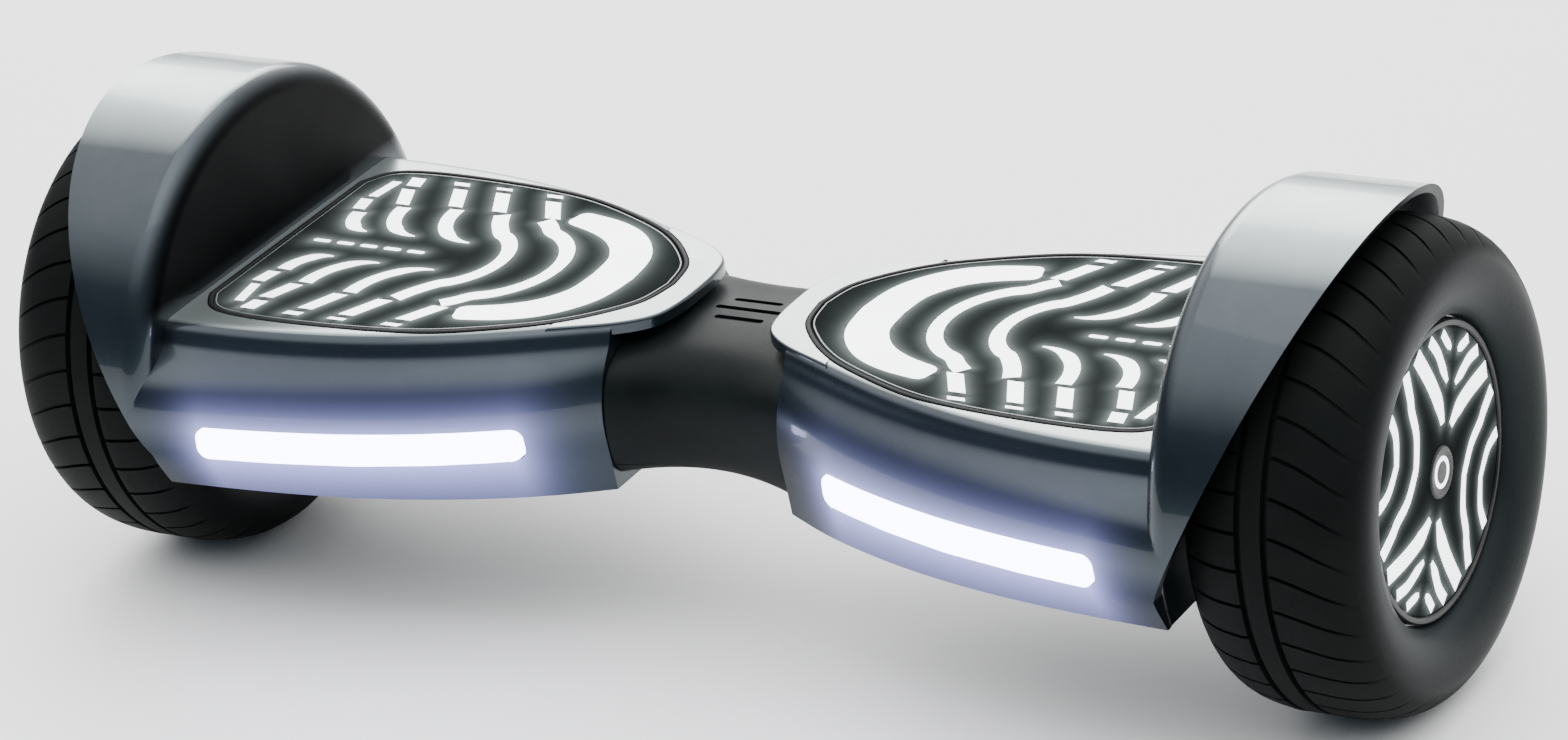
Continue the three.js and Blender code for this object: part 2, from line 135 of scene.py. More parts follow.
def selectEdges(piece, test):
    activate(piece)
    bpy.ops.object.mode_set(mode="EDIT")
    bpy.ops.mesh.select_mode(type="EDGE")
    bpy.ops.mesh.select_all(action="DESELECT")
    bpy.ops.object.mode_set(mode="OBJECT")
    points = piece.data.vertices
    for edge in piece.data.edges:
        a, b = (points[i].co for i in edge.vertices)
        edge.select = test(a, b)
    bpy.ops.object.mode_set(mode="EDIT")


def bevelEdges(piece, test, width, segments=3):
    selectEdges(piece, test)
    bpy.ops.mesh.bevel(offset=width, segments=segments, profile=0.5, affect="EDGES", clamp_overlap=True)
    bpy.ops.object.mode_set(mode="OBJECT")


def smooth(piece, angle=30):
    activate(piece)
    bpy.ops.object.shade_smooth_by_angle(angle=math.radians(angle))


def copyPiece(piece, name):
    copy = piece.copy()
    copy.data = piece.data.copy()
    copy.name = copy.data.name = name
    bpy.context.collection.objects.link(copy)
    return copy


def mirrorPiece(piece, name):
    copy = copyPiece(piece, name)
    copy.data.transform(Matrix.Scale(-1, 4, (1, 0, 0)))
    copy.data.flip_normals()
    return copy


def joinPieces(pieces, name):
    activate(pieces[0])
    for piece in pieces[1:]:
        piece.select_set(True)
    bpy.ops.object.join()
    joined = bpy.context.object
    joined.name = joined.data.name = name
    return joined


# A closed skin through rings that all have the same number of points. Each ring is extruded from the one
# before, so a new point starts on the place of the point that it belongs to.
def skinRings(name, rings):
    piece = outlinePiece(name, rings[0])
    count = len(rings[0])
    for before, ring in zip(rings, rings[1:]):
        bpy.ops.object.mode_set(mode="EDIT")
        bpy.ops.mesh.select_mode(type="FACE")
        bpy.ops.mesh.extrude_region_move()
        bpy.ops.object.mode_set(mode="OBJECT")
        for vertex in piece.data.vertices[-count:]:
            start = vertex.co / mm
            nearest = min(range(count), key=lambda k: (start - Vector(before[k])).length_squared)
            vertex.co = Vector(ring[nearest]) * mm
    alignNormals(piece)
    return piece


def prismX(name, outline, low, high):
    return skinRings(name, [[(x, y, z) for y, z in outline] for x in (low, high)])


def prismY(name, outline, low, high):
    return skinRings(name, [[(x, y, z) for x, z in outline] for y in (low, high)])


def prismZ(name, outline, low, high):
    return skinRings(name, [[(x, y, z) for x, y in outline] for z in (low, high)])


# A solid cylinder about a point, upright or lying along Y.
def makeCylinder(centre, radius, length, steps, lying=False):
    turn = (math.pi / 2, 0, 0) if lying else (0, 0, 0)
    bpy.ops.mesh.primitive_cylinder_add(vertices=steps, radius=radius * mm, depth=length * mm,
                                        location=Vector(centre) * mm, rotation=turn)
    bpy.ops.object.transform_apply(location=True, rotation=True, scale=True)
    return bpy.context.object


# An outline turned all the way round a line that runs along the given axis.
def turnOutline(name, points, steps, centre, axis):
    piece = outlinePiece(name, points, False)
    bpy.ops.object.mode_set(mode="EDIT")
    bpy.ops.mesh.select_all(action="SELECT")
    bpy.ops.mesh.spin(steps=steps, angle=2 * math.pi, center=Vector(centre) * mm, axis=axis)
    bpy.ops.object.mode_set(mode="OBJECT")
    alignNormals(piece)
    return piece


# A profile of (x, radius) points turned about the wheel axle.
def spinProfile(name, profile, steps):
    points = [(x, 0, axleZ + radius) for x, radius in profile]
    return turnOutline(name, points, steps, (0, 0, axleZ), (1, 0, 0))


def lerp(a, b, t):
    return a + (b - a) * t


def spline(points, steps):
    # Catmull-Rom through the points
    ends = [points[0], *points, points[-1]]
    curve = []
    for i in range(1, len(ends) - 2):
        a, b, c, d = (Vector(ends[k]) for k in (i - 1, i, i + 1, i + 2))
        for step in range(steps):
            t = step / steps
            curve.append(0.5 * (2 * b + (c - a) * t + (2 * a - 5 * b + 4 * c - d) * t * t
                                + (3 * b - a - 3 * c + d) * t ** 3))
    curve.append(Vector(points[-1]))
    return [tuple(point) for point in curve]


def addNode(tree, kind, settings=None, inputs=None):
    node = tree.nodes.new(kind)
    for key, value in (settings or {}).items():
        setattr(node, key, value)
    for key, value in (inputs or {}).items():
        if isinstance(value, bpy.types.NodeSocket):
            tree.links.new(value, node.inputs[key])
        else:
            node.inputs[key].default_value = value
    return node


def mathNode(tree, operation, a, b=0.0):
    return addNode(tree, "ShaderNodeMath", {"operation": operation}, {0: a, 1: b}).outputs[0]


def objectPoint(tree):
    return addNode(tree, "ShaderNodeTexCoord").outputs["Object"]


def mixColour(tree, mask, a, b):
    node = addNode(tree, "ShaderNodeMix", {"data_type": "RGBA"}, {0: mask, 6: a, 7: b})
    return node.outputs[2]


def ramp(tree, value, low, high, outLow=0.0, outHigh=1.0):
    inputs = {"Value": value, "From Min": low, "From Max": high, "To Min": outLow, "To Max": outHigh}
    return addNode(tree, "ShaderNodeMapRange", {"clamp": True}, inputs).outputs[0]


def newGroup(name, inputs, outputs):
    group = bpy.data.node_groups.new(name, "ShaderNodeTree")
    for label, value in inputs.items():
        socket = group.interface.new_socket(label, in_out="INPUT", socket_type="NodeSocketFloat")
        socket.default_value = value
    for label in outputs:
        group.interface.new_socket(label, in_out="OUTPUT", socket_type="NodeSocketFloat")
    return group, group.nodes.new("NodeGroupInput").outputs, group.nodes.new("NodeGroupOutput").inputs


def makeGrainGroup():
    # moulded grain: a fine stipple over slow waves
    given = {"Scale": 1500.0, "Waviness": 0.2}
    group, given, result = newGroup("moulded grain", given, ["Height", "Mottle"])
    point = objectPoint(group)
    inputs = {"Vector": point, "Scale": given["Scale"], "Detail": 3.0}
    fine = addNode(group, "ShaderNodeTexNoise", {}, inputs)
    slow = addNode(group, "ShaderNodeTexNoise", {}, {"Vector": point, "Scale": 28.0, "Detail": 4.0})
    waves = mathNode(group, "MULTIPLY", slow.outputs[0], given["Waviness"])
    group.links.new(mathNode(group, "ADD", fine.outputs[0], waves), result["Height"])
    group.links.new(ramp(group, slow.outputs[0], 0.35, 0.65), result["Mottle"])
    return group


def makeDustGroup():
    # fine dust that settles on what faces up, in patches
    group, given, result = newGroup("settled dust", {"Amount": 0.3, "Patch Scale": 18.0}, ["Dust"])
    normal = addNode(group, "ShaderNodeNewGeometry").outputs["Normal"]
    upward = addNode(group, "ShaderNodeSeparateXYZ", {}, {0: normal}).outputs["Z"]
    inputs = {"Vector": objectPoint(group), "Scale": given["Patch Scale"]}
    inputs.update({"Detail": 6.0, "Roughness": 0.65})
    patches = addNode(group, "ShaderNodeTexNoise", {}, inputs).outputs[0]
    facing = ramp(group, upward, 0.2, 1.0)
    mask = mathNode(group, "MULTIPLY", facing, ramp(group, patches, 0.4, 0.75))
    group.links.new(mathNode(group, "MULTIPLY", mask, given["Amount"]), result["Dust"])
    return group


def makeBrushedGroup():
    # turned or rolled metal: streaks drawn out along X
    group, given, result = newGroup("brushed streaks", {"Scale": 900.0}, ["Height", "Streak"])
    inputs = {"Vector": objectPoint(group), "Scale": (0.04, 1.0, 1.0)}
    stretch = addNode(group, "ShaderNodeMapping", {}, inputs)
    inputs = {"Vector": stretch.outputs[0], "Scale": given["Scale"], "Detail": 4.0}
    streaks = addNode(group, "ShaderNodeTexNoise", {}, inputs).outputs[0]
    group.links.new(streaks, result["Height"])
    group.links.new(ramp(group, streaks, 0.3, 0.7), result["Streak"])
    return group


grainGroup = makeGrainGroup()
dustGroup = makeDustGroup()
brushedGroup = makeBrushedGroup()


def useGroup(tree, group, **inputs):
    node = tree.nodes.new("ShaderNodeGroup")
    node.node_tree = group
    for key, value in inputs.items():
        node.inputs[key.replace("_", " ")].default_value = value
    return node.outputs


def newMaterial(name, settings):
    material = bpy.data.materials.new(name)
    material.use_nodes = True
    shader = material.node_tree.nodes["Principled BSDF"]
    for key, value in settings.items():
        shader.inputs[key].default_value = (*value, 1.0) if isinstance(value, tuple) else value
    return material, material.node_tree, shader.inputs


def linkBump(tree, shader, height, distance, strength=1.0):
    inputs = {"Height": height, "Distance": distance, "Strength": strength}
    tree.links.new(addNode(tree, "ShaderNodeBump", {}, inputs).outputs[0], shader["Normal"])


paint = {
    "side": (0.017, 0.026, 0.033),
    # top: a painted highlight, silver where the shell faces up
    "top": (0.36, 0.41, 0.41),
    # under: painted shade on faces that look down
    "under": (0.010, 0.016, 0.021),
    # painted shade: near black in the fender's pocket
    "pocketShade": (0.001, 0.0013, 0.0015),
    "dust": (0.45, 0.46, 0.46),
    # glow and the settings after it: painted light from the light bar, put on the paint as emission
    "glow": (0.42, 0.44, 1.0),
    "glowStrength": 3.0,
    "glowReach": 0.0068,
    # the painted glow of the light bar on the paint reaches further under the bar: its distance there counts
    # for less
    "glowUnder": 0.45,
    "glowFade": 0.36,
    "flake": (0.02, 0.03, 0.04),
    "flakeShare": 0.12,
    "lampMid": (0.153, 0.1045),
    "lampHalf": (0.070, 0.0035),
}


def paintedLampGlow(tree, facing):
    # painted light: the light bar's glow on the paint, falling off around the bar, on the front only
    split = addNode(tree, "ShaderNodeSeparateXYZ", {}, {0: objectPoint(tree)}).outputs
    (midX, midZ), (halfX, halfZ) = paint["lampMid"], paint["lampHalf"]
    fromMiddle = mathNode(tree, "SUBTRACT", mathNode(tree, "ABSOLUTE", split["X"]), midX)
    beside = mathNode(tree, "SUBTRACT", mathNode(tree, "ABSOLUTE", fromMiddle), halfX)
    beside = mathNode(tree, "MAXIMUM", beside, 0.0)
    above = mathNode(tree, "MAXIMUM", mathNode(tree, "SUBTRACT", split["Z"], midZ + halfZ), 0.0)
    under = mathNode(tree, "MAXIMUM", mathNode(tree, "SUBTRACT", midZ - halfZ, split["Z"]), 0.0)
    upright = mathNode(tree, "ADD", above, mathNode(tree, "MULTIPLY", under, paint["glowUnder"]))
    reach = paint["glowReach"]
    squares = [mathNode(tree, "POWER", mathNode(tree, "DIVIDE", d, reach), 2.0) for d in (beside, upright)]
    total = mathNode(tree, "SQRT", mathNode(tree, "ADD", *squares))
    falloff = mathNode(tree, "POWER", paint["glowFade"], total)
    return mathNode(tree, "MULTIPLY", falloff, ramp(tree, facing["Y"], -0.15, -0.6))


def makePaint():
    # metallic lacquer in dark blue, with a painted highlight that turns it silver where it faces up, painted
    # shade that darkens it under its sides, painted near black shade in the fender's pocket and a painted
    # glow by the light bar
    material, tree, shader = newMaterial("shellPaint", {
        "Coat Roughness": 0.05, "Emission Strength": paint["glowStrength"],
    })
    normal = addNode(tree, "ShaderNodeNewGeometry").outputs["Normal"]
    facing = addNode(tree, "ShaderNodeSeparateXYZ", {}, {0: normal}).outputs
    height = addNode(tree, "ShaderNodeSeparateXYZ", {}, {0: objectPoint(tree)}).outputs["Z"]
    grain = useGroup(tree, grainGroup, Scale=2600.0, Waviness=2.0)
    dust = useGroup(tree, dustGroup, Amount=0.04)["Dust"]
    # painted highlight where the shell faces up, painted shade where it faces down
    upward = ramp(tree, facing["Z"], 0.89, 0.985)
    paintedUnderShade = ramp(tree, facing["Z"], 0.0, -0.3)
    flankWithPaintedShade = mixColour(tree, paintedUnderShade, (*paint["side"], 1), (*paint["under"], 1))
    paintedSheen = mixColour(tree, upward, flankWithPaintedShade, (*paint["top"], 1))
    # painted shade on the side walls of the fender's pocket
    sideways = ramp(tree, mathNode(tree, "ABSOLUTE", facing["X"]), 0.45, 0.97)
    pocketShade = mathNode(tree, "MULTIPLY", sideways, ramp(tree, height, 0.149, 0.160))
    flakes = mathNode(tree, "MULTIPLY", grain["Mottle"], paint["flakeShare"])
    flaked = mixColour(tree, flakes, paintedSheen, (*paint["flake"], 1))
    dusty = mixColour(tree, dust, flaked, (*paint["dust"], 1))
    tree.links.new(mixColour(tree, pocketShade, dusty, (*paint["pocketShade"], 1)), shader["Base Color"])
    roughness = mathNode(tree, "ADD", ramp(tree, grain["Mottle"], 0.0, 1.0, 0.26, 0.31), dust)
    duller = mathNode(tree, "ADD", roughness, mathNode(tree, "MULTIPLY", pocketShade, 0.3))
    tree.links.new(duller, shader["Roughness"])
    bare = mathNode(tree, "MAXIMUM", pocketShade, paintedUnderShade)
    tree.links.new(ramp(tree, bare, 0.0, 1.0, 0.5, 0.0), shader["Coat Weight"])
    tree.links.new(ramp(tree, bare, 0.0, 1.0, 0.85, 1.0), shader["Metallic"])
    # painted light: the light bar's glow, put on the paint as emission
    glow = mixColour(tree, paintedLampGlow(tree, facing), (0, 0, 0, 1), (*paint["glow"], 1))
    tree.links.new(glow, shader["Emission Color"])
    linkBump(tree, shader, grain["Height"], 0.00003)
    return material


def makePlastic(name, colour, roughness, scale=1500.0, depth=0.00012, dust=0.12, shine=0.5):
    material, tree, shader = newMaterial(name, {"Specular IOR Level": shine})
    grain = useGroup(tree, grainGroup, Scale=scale, Waviness=0.3)
    dusty = useGroup(tree, dustGroup, Amount=dust)["Dust"]
    lighter = tuple(c * 1.5 + 0.001 for c in colour)
    base = mixColour(tree, grain["Mottle"], (*colour, 1), (*lighter, 1))
    tree.links.new(mixColour(tree, dusty, base, (0.3, 0.29, 0.28, 1)), shader["Base Color"])
    spread = ramp(tree, grain["Mottle"], 0.0, 1.0, roughness - 0.05, roughness + 0.06)
    tree.links.new(spread, shader["Roughness"])
    linkBump(tree, shader, grain["Height"], depth)
    return material


def makeMetal(name, colour, roughness, metallic=1.0):
    material, tree, shader = newMaterial(name, {"Metallic": metallic})
    brushed = useGroup(tree, brushedGroup)
    darker = tuple(c * 0.7 for c in colour)
    tree.links.new(mixColour(tree, brushed["Streak"], (*darker, 1), (*colour, 1)), shader["Base Color"])
    spread = ramp(tree, brushed["Streak"], 0, 1, roughness - 0.08, roughness + 0.08)
    tree.links.new(spread, shader["Roughness"])
    linkBump(tree, shader, brushed["Height"], 0.00005)
    return material


rubber = {
    "treadFrom": (0.0925, 0.0975),
    # where the side wall's painted sheen runs, and its colours from the rim out to the tread
    "wallFrom": (0.068, 0.092),
    "wall": ((0.0105, 0.0140, 0.0152, 1), (0.0032, 0.0043, 0.0046, 1)),
    "tread": ((0.0022, 0.003, 0.003, 1), (0.0034, 0.0042, 0.0042, 1)),
}


def makeTyreRubber():
    # blackest in the tread; smoother down the side wall, where a painted sheen turns it greyer towards the
    # rim
    material, tree, shader = newMaterial("tyreRubber", {"Specular IOR Level": 0.06})
    grain = useGroup(tree, grainGroup, Scale=1100.0, Waviness=0.5)
    split = addNode(tree, "ShaderNodeSeparateXYZ", {}, {0: objectPoint(tree)}).outputs
    height = mathNode(tree, "SUBTRACT", split["Z"], axleZ * mm)
    squares = [mathNode(tree, "POWER", side, 2.0) for side in (split["Y"], height)]
    radius = mathNode(tree, "SQRT", mathNode(tree, "ADD", *squares))
    tread = ramp(tree, radius, *rubber["treadFrom"])
    # painted sheen: the side wall lighter towards the rim
    wall = mixColour(tree, ramp(tree, radius, *rubber["wallFrom"]), *rubber["wall"])
    running = mixColour(tree, grain["Mottle"], *rubber["tread"])
    tree.links.new(mixColour(tree, tread, wall, running), shader["Base Color"])
    tree.links.new(ramp(tree, tread, 0, 1, 0.4, 0.6), shader["Roughness"])
    linkBump(tree, shader, grain["Height"], 0.0001)
    return material


pad = {
    "black": (0.006, 0.007, 0.0075),
    "haze": (0.30, 0.35, 0.34),
    "stripe": (0.93, 0.96, 1.0),
    "stripeStrength": 3.2,
}


def makePadGloss():
    # near-black clear plastic, lit from inside around the stripes
    material, tree, shader = newMaterial("padGloss", {
        "Roughness": 0.25, "Specular IOR Level": 0.0, "Emission Strength": 1.0,
    })
    grain = useGroup(tree, grainGroup, Scale=900.0, Waviness=0.4)
    glow = addNode(tree, "ShaderNodeAttribute", {"attribute_name": "glow"}).outputs["Fac"]
    haze = mathNode(tree, "MULTIPLY", glow, ramp(tree, grain["Mottle"], 0, 1, 0.85, 1.0))
    tree.links.new(mixColour(tree, haze, (0, 0, 0, 1), (*pad["haze"], 1)), shader["Emission Color"])
    lighter = [c * 1.4 for c in pad["black"]]
    base = mixColour(tree, grain["Mottle"], (*pad["black"], 1), (*lighter, 1))
    tree.links.new(base, shader["Base Color"])
    tree.links.new(ramp(tree, grain["Mottle"], 0, 1, 0.2, 0.27), shader["Roughness"])
    linkBump(tree, shader, grain["Height"], 0.00003)
    return material


def makeLit(name, colour, strength, edge=0.9):
    # milky plastic lit from behind, a little uneven
    material, tree, shader = newMaterial(name, {"Roughness": 0.3, "Emission Strength": strength})
    grain = useGroup(tree, grainGroup, Scale=700.0, Waviness=0.4)
    dimmer = tuple(c * edge for c in colour)
    lit = mixColour(tree, grain["Mottle"], (*dimmer, 1), (*colour, 1))
    tree.links.new(lit, shader["Emission Color"])
    milky = mixColour(tree, grain["Mottle"], (0.8, 0.81, 0.83, 1), (0.86, 0.87, 0.9, 1))
    tree.links.new(milky, shader["Base Color"])
    linkBump(tree, shader, grain["Height"], 0.00005)
    return material


def makeBoard():
    # green solder mask with copper tracks under it
    material, tree, shader = newMaterial("circuitBoard", {"Roughness": 0.35})
    inputs = {"Vector": objectPoint(tree), "Scale": 260.0}
    cells = addNode(tree, "ShaderNodeTexVoronoi", {"distance": "CHEBYCHEV", "feature": "F1"}, inputs)
    tracks = ramp(tree, cells.outputs["Distance"], 0.38, 0.42)
    colour = mixColour(tree, tracks, (0.012, 0.09, 0.04, 1), (0.03, 0.16, 0.07, 1))
    tree.links.new(colour, shader["Base Color"])
    linkBump(tree, shader, tracks, 0.00006)
    return material


def makeWinding():
    # enamelled copper wire in close turns
    material, tree, shader = newMaterial("copperWinding", {"Metallic": 0.9, "Roughness": 0.32})
    settings = {"wave_type": "BANDS", "bands_direction": "X"}
    inputs = {"Vector": objectPoint(tree), "Scale": 160.0, "Distortion": 0.4}
    turns = addNode(tree, "ShaderNodeTexWave", settings, inputs).outputs["Fac"]
    tree.links.new(mixColour(tree, turns, (0.2, 0.06, 0.02, 1), (0.6, 0.24, 0.09, 1)), shader["Base Color"])
    linkBump(tree, shader, turns, 0.0004)
    return material


finishes = {
    "shell_paint": makePaint(),
    "cover_plastic": makePlastic("coverPlastic", (0.008, 0.009, 0.01), 0.55, 1500.0, 0.00012, 0.05, 0.3),
    "waist_plastic": makePlastic("waistPlastic", (0.0024, 0.0038, 0.0040), 0.42, 1100.0, 0.00008, 0.01, 0.08),
    "trim_plastic": makePlastic("trimPlastic", (0.004, 0.0045, 0.005), 0.35, 1800.0, 0.00006, 0.02, 0.25),
    "soft_rubber": makePlastic("softRubber", (0.004, 0.0043, 0.0046), 0.6, 2200.0, 0.0001, 0.03, 0.15),
    "tyre_rubber": makeTyreRubber(),
    "pad_gloss": makePadGloss(),
    "light_panel": makeLit("lightPanel", pad["stripe"], pad["stripeStrength"]),
    "light_lens": makeLit("lightLens", (0.62, 0.62, 1.0), 16.0, 0.97),
    "cast_aluminium": makeMetal("castAluminium", (0.5, 0.51, 0.52), 0.42),
    "steel": makeMetal("steel", (0.42, 0.43, 0.44), 0.32),
    "bronze": makeMetal("bronze", (0.5, 0.33, 0.14), 0.4),
    "copper_winding": makeWinding(),
    "circuit_board": makeBoard(),
    "battery_wrap": makePlastic("batteryWrap", (0.02, 0.06, 0.26), 0.3, 300.0, 0.0001, 0.0),
}
lightGuide = makePlastic("lightGuide", (0.5, 0.52, 0.54), 0.4)
# a light grey for the thin ring inside the foot pad's edge: a painted highlight
paintedEdgeHighlight = makePlastic("paintedEdgeHighlight", (0.11, 0.125, 0.125), 0.3)
for part in frame["record"]["subparts"]:
    material = lightGuide if "light_panel" in part["node"] else finishes[part["material_slot"]]
    mesh = nodes[part["node"]].data
    mesh.materials.clear()
    mesh.materials.append(material)
print("materials made")


def finishPiece(piece, body, slot, *replaced, finish=None):
    piece.data.materials.clear()
    piece.data.materials.append(finish or finishes[slot])
    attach(piece, body)
    if replaced:
        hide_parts(*replaced)


# The painted casing of one half, with its fender and deck. Sizes in millimetres.
shell = {
    # x, half depth at the bottom edge, half depth of the deck's flat
    "stations": [(45, 57, 38), (70, 71, 50), (93, 80, 60.5), (116, 88, 69.5), (151, 97, 80),
                 (192, 103, 86.5), (222, 105.5, 88.5), (252, 107.5, 89)],
    "deckZ": 152,
    "bottomZ": 76,
    "recessZ": 147,
    # how much wider the casing is half way up, at the waist and at the wheel
    "swell": (4.6, 13.6),
    "skin": 3.4,
    "lip": [(24.5, 0), (25, 14), (28, 28), (35, 36.8), (46, 44.2), (60, 50.8), (72, 56.2)],
    "lipFloor": 0.6,
    "hollowEnd": 251.6,
    "wallX": 252,
    "wellX": 254.6,
    "fenderRadius": 120.5,
    "fenderThick": 4,
    "rimRound": 12,
    "reach": 326,
    "openSlope": 0.5,
    "openX": 208,
    "edgeRound": 0.9,
    "charger": (222, 12.3),
    "button": (194, 7.3),
}


def wideHalf(x, bottom):
    inner, outer = shell["swell"]
    first, last = shell["stations"][0][0], shell["stations"][-1][0]
    return bottom + lerp(inner, outer, (x - first) / (last - first))


def bothSides(half):
    return [(-y, z) for y, z in half] + [(y, z) for y, z in reversed(half)]


def outerSection(x, bottom, flat):
    wide, top = wideHalf(x, bottom), shell["deckZ"]
    low = [(bottom, shell["bottomZ"]), (lerp(bottom, wide - 2.2, 0.5), 85.5), (wide - 2.2, 96)]
    side = [(wide + 0.6, 112), (wide - 4.2, 130), (flat + 12.2, 139.5)]
    brow = [(flat + 8.8, 143.4), (flat + 7.4, 149), (flat + 3, top), (flat - 4, top)]
    return bothSides(low + side + brow)


def innerSection(x, bottom, flat):
    skin = shell["skin"]
    wide = wideHalf(x, bottom) - skin
    half = [(bottom - skin, 66), (bottom - skin, 76), (wide - 2, 96), (wide, 112), (wide - 6, 129),
            (flat + 2, shell["recessZ"] - 3)]
    return bothSides(half)


def creaseEdges(piece, test):
    creases = piece.data.attributes.new("crease_edge", "FLOAT", "EDGE").data
    points = piece.data.vertices
    for edge in piece.data.edges:
        a, b = (points[i].co / mm for i in edge.vertices)
        creases[edge.index].value = 1.0 if test(a, b) else 0.0


def makeBody():
    stations = shell["stations"]
    far = stations[-1][0] + shell["rimRound"] + 2
    sections = [(x, outerSection(x, bottom, flat)) for x, bottom, flat in stations]
    sections.append((far, sections[-1][1]))
    body = skinRings("body", [[(x, y, z) for y, z in section] for x, section in sections])
    ends = (stations[0][0], far)
    low = shell["bottomZ"] + 0.1

    def isSharp(a, b):
        acrossEnd = any(abs(a.x - end) < 0.1 and abs(b.x - end) < 0.1 for end in ends)
        return acrossEnd or (a.z < low and b.z < low and abs(a.y - b.y) < 40)

    creaseEdges(body, isSharp)
    applyModifier(body, "SUBSURF", levels=3, render_levels=3)
    return body


def makeLip():
    near = spline(shell["lip"], 4)
    outline = near + [(x, -y) for x, y in reversed(near[1:])]
    lip = prismZ("lip", outline, shell["recessZ"] - shell["lipFloor"], shell["deckZ"])
    top = (shell["deckZ"] - 0.1) * mm
    bevelEdges(lip, lambda a, b: a.z > top and b.z > top, 2.4 * mm, 5)
    return lip


def makeDrum(x, radius, rounding, reach):
    rim = []
    for i in range(11):
        t = math.radians(9 * i)
        rim.append((x + rounding * (1 - math.cos(t)), radius - rounding * (1 - math.sin(t))))
    return spinProfile("drum", [(x, 0), (x, radius * 0.5), *rim, (reach, radius), (reach, 0)], 144)


def makeFender():
    drum = makeDrum(shell["wallX"], shell["fenderRadius"], shell["rimRound"], shell["reach"])
    x, bottom, _ = shell["stations"][-1]
    knee = wideHalf(x, bottom) - 2.2
    around = []
    for i in range(33):
        t = math.pi * i / 32
        around.append((130 * math.cos(t), 108 + 130 * math.sin(t)))
    # the foot stays inside the casing, which carries on to the same place
    foot = [(bottom - 2, shell["bottomZ"] + 0.4), (lerp(bottom, knee, 0.5) - 2, 85.5), (knee - 2, 96)]
    outline = [*foot, *around] + [(-y, z) for y, z in reversed(foot)]
    carve(drum, prismX("fenderSide", outline, 240, 340), "INTERSECT")
    return drum


def makeOpenEdgeTool():
    wallX = shell["wellX"] + 0.5
    slope, start = shell["openSlope"], shell["openX"]
    wallZ = (wallX - start) / slope
    outline = [(wallX, 60), (wallX, wallZ), (start + slope * 260, 260), (400, 260), (400, 60)]
    return prismY("openEdge", outline, -150, 150)


# The light bar's outline seen from the front, bent round the casing's nose.
lamp = {"x": (77, 228), "z": (97, 112), "corner": 5.5, "depth": 6, "proud": 0.5, "steps": 28}


def nose(x):
    stations = shell["stations"]
    for (x0, bottom0, _), (x1, bottom1, _) in zip(stations, stations[1:]):
        if x <= x1:
            break
    return wideHalf(x, lerp(bottom0, bottom1, (x - x0) / (x1 - x0)))


def makeLampBar(name, grow, front, back, rounding):
    (x0, x1), (z0, z1) = lamp["x"], lamp["z"]
    rings = []
    for i in range(lamp["steps"] + 1):
        x = lerp(x0 - grow, x1 + grow, i / lamp["steps"])
        y = -nose(x)
        rings.append([(x, y - front, z0 - grow), (x, y - front, z1 + grow), (x, y + back, z1 + grow),
                      (x, y + back, z0 - grow)])
    bar = skinRings(name, rings)
    ends = ((x0 - grow) * mm, (x1 + grow) * mm)

    def isCorner(a, b):
        atEnd = any(abs(a.x - end) < 1e-5 and abs(b.x - end) < 1e-5 for end in ends)
        return atEnd and abs(a.y - b.y) > 0.001

    bevelEdges(bar, isCorner, (lamp["corner"] + grow) * mm, 6)
    if rounding:
        def isFront(a, b):
            return all(p.y < -(nose(p.x / mm) + front - 0.3) * mm for p in (a, b))

        def isRim(a, b):
            low, high = (z0 - grow) * mm, (z1 + grow) * mm
            middle = (a + b) / 2
            inside = ends[0] + 0.006 < middle.x < ends[1] - 0.006
            inside = inside and low + 0.001 < middle.z < high - 0.001
            return isFront(a, b) and not inside

        bevelEdges(bar, isRim, rounding * mm, 3)
    return bar


# The foot pad's edge from its rounded tip to its straight outboard side, as (x, half depth).
padEdge = spline([(40, 0), (43, 16), (49.5, 27), (64, 42), (83, 54.5), (119, 70), (150, 76.5), (190, 79.5),
                  (222, 79), (238, 74.5), (246, 63)], 6)
padOutline = padEdge + [(x, -y) for x, y in reversed(padEdge[1:])]


def grown(outline, by):
    result = []
    count = len(outline)
    for i, (x, y) in enumerate(outline):
        before, after = outline[i - 1], outline[(i + 1) % count]
        out = Vector((after[1] - before[1], before[0] - after[0])).normalized()
        if out.dot(Vector((x - 150, y))) < 0:
            out = -out
        result.append((x + out.x * by, y + out.y * by))
    return result


def makeShellHalf():
    body = makeBody()
    carve(body, makeLip(), "UNION")
    carve(body, makeFender(), "UNION")
    stations = shell["stations"]
    hollowRings = []
    for x, bottom, flat in stations:
        inside = innerSection(x, bottom, flat)
        x = min(max(x, stations[0][0] + shell["skin"]), shell["hollowEnd"])
        hollowRings.append([(x, y, z) for y, z in inside])
    hollow = skinRings("hollow", hollowRings)
    carve(body, hollow)
    wellRadius = shell["fenderRadius"] - shell["fenderThick"]
    carve(body, makeDrum(shell["wellX"], wellRadius, shell["rimRound"] - 2, 400))
    carve(body, makeOpenEdgeTool())
    carve(body, prismZ("recess", grown(padOutline, 2.9), shell["recessZ"], 170))
    carve(body, makeLampBar("lampSlot", 0.35, 12, 14, 0))
    carve(body, spinProfile("tubeHole", [(40, 0), (40, 19), (60, 19), (60, 0)], 48))
    carve(body, spinProfile("axleHole", [(245, 0), (245, 11), (262, 11), (262, 0)], 48))
    return body


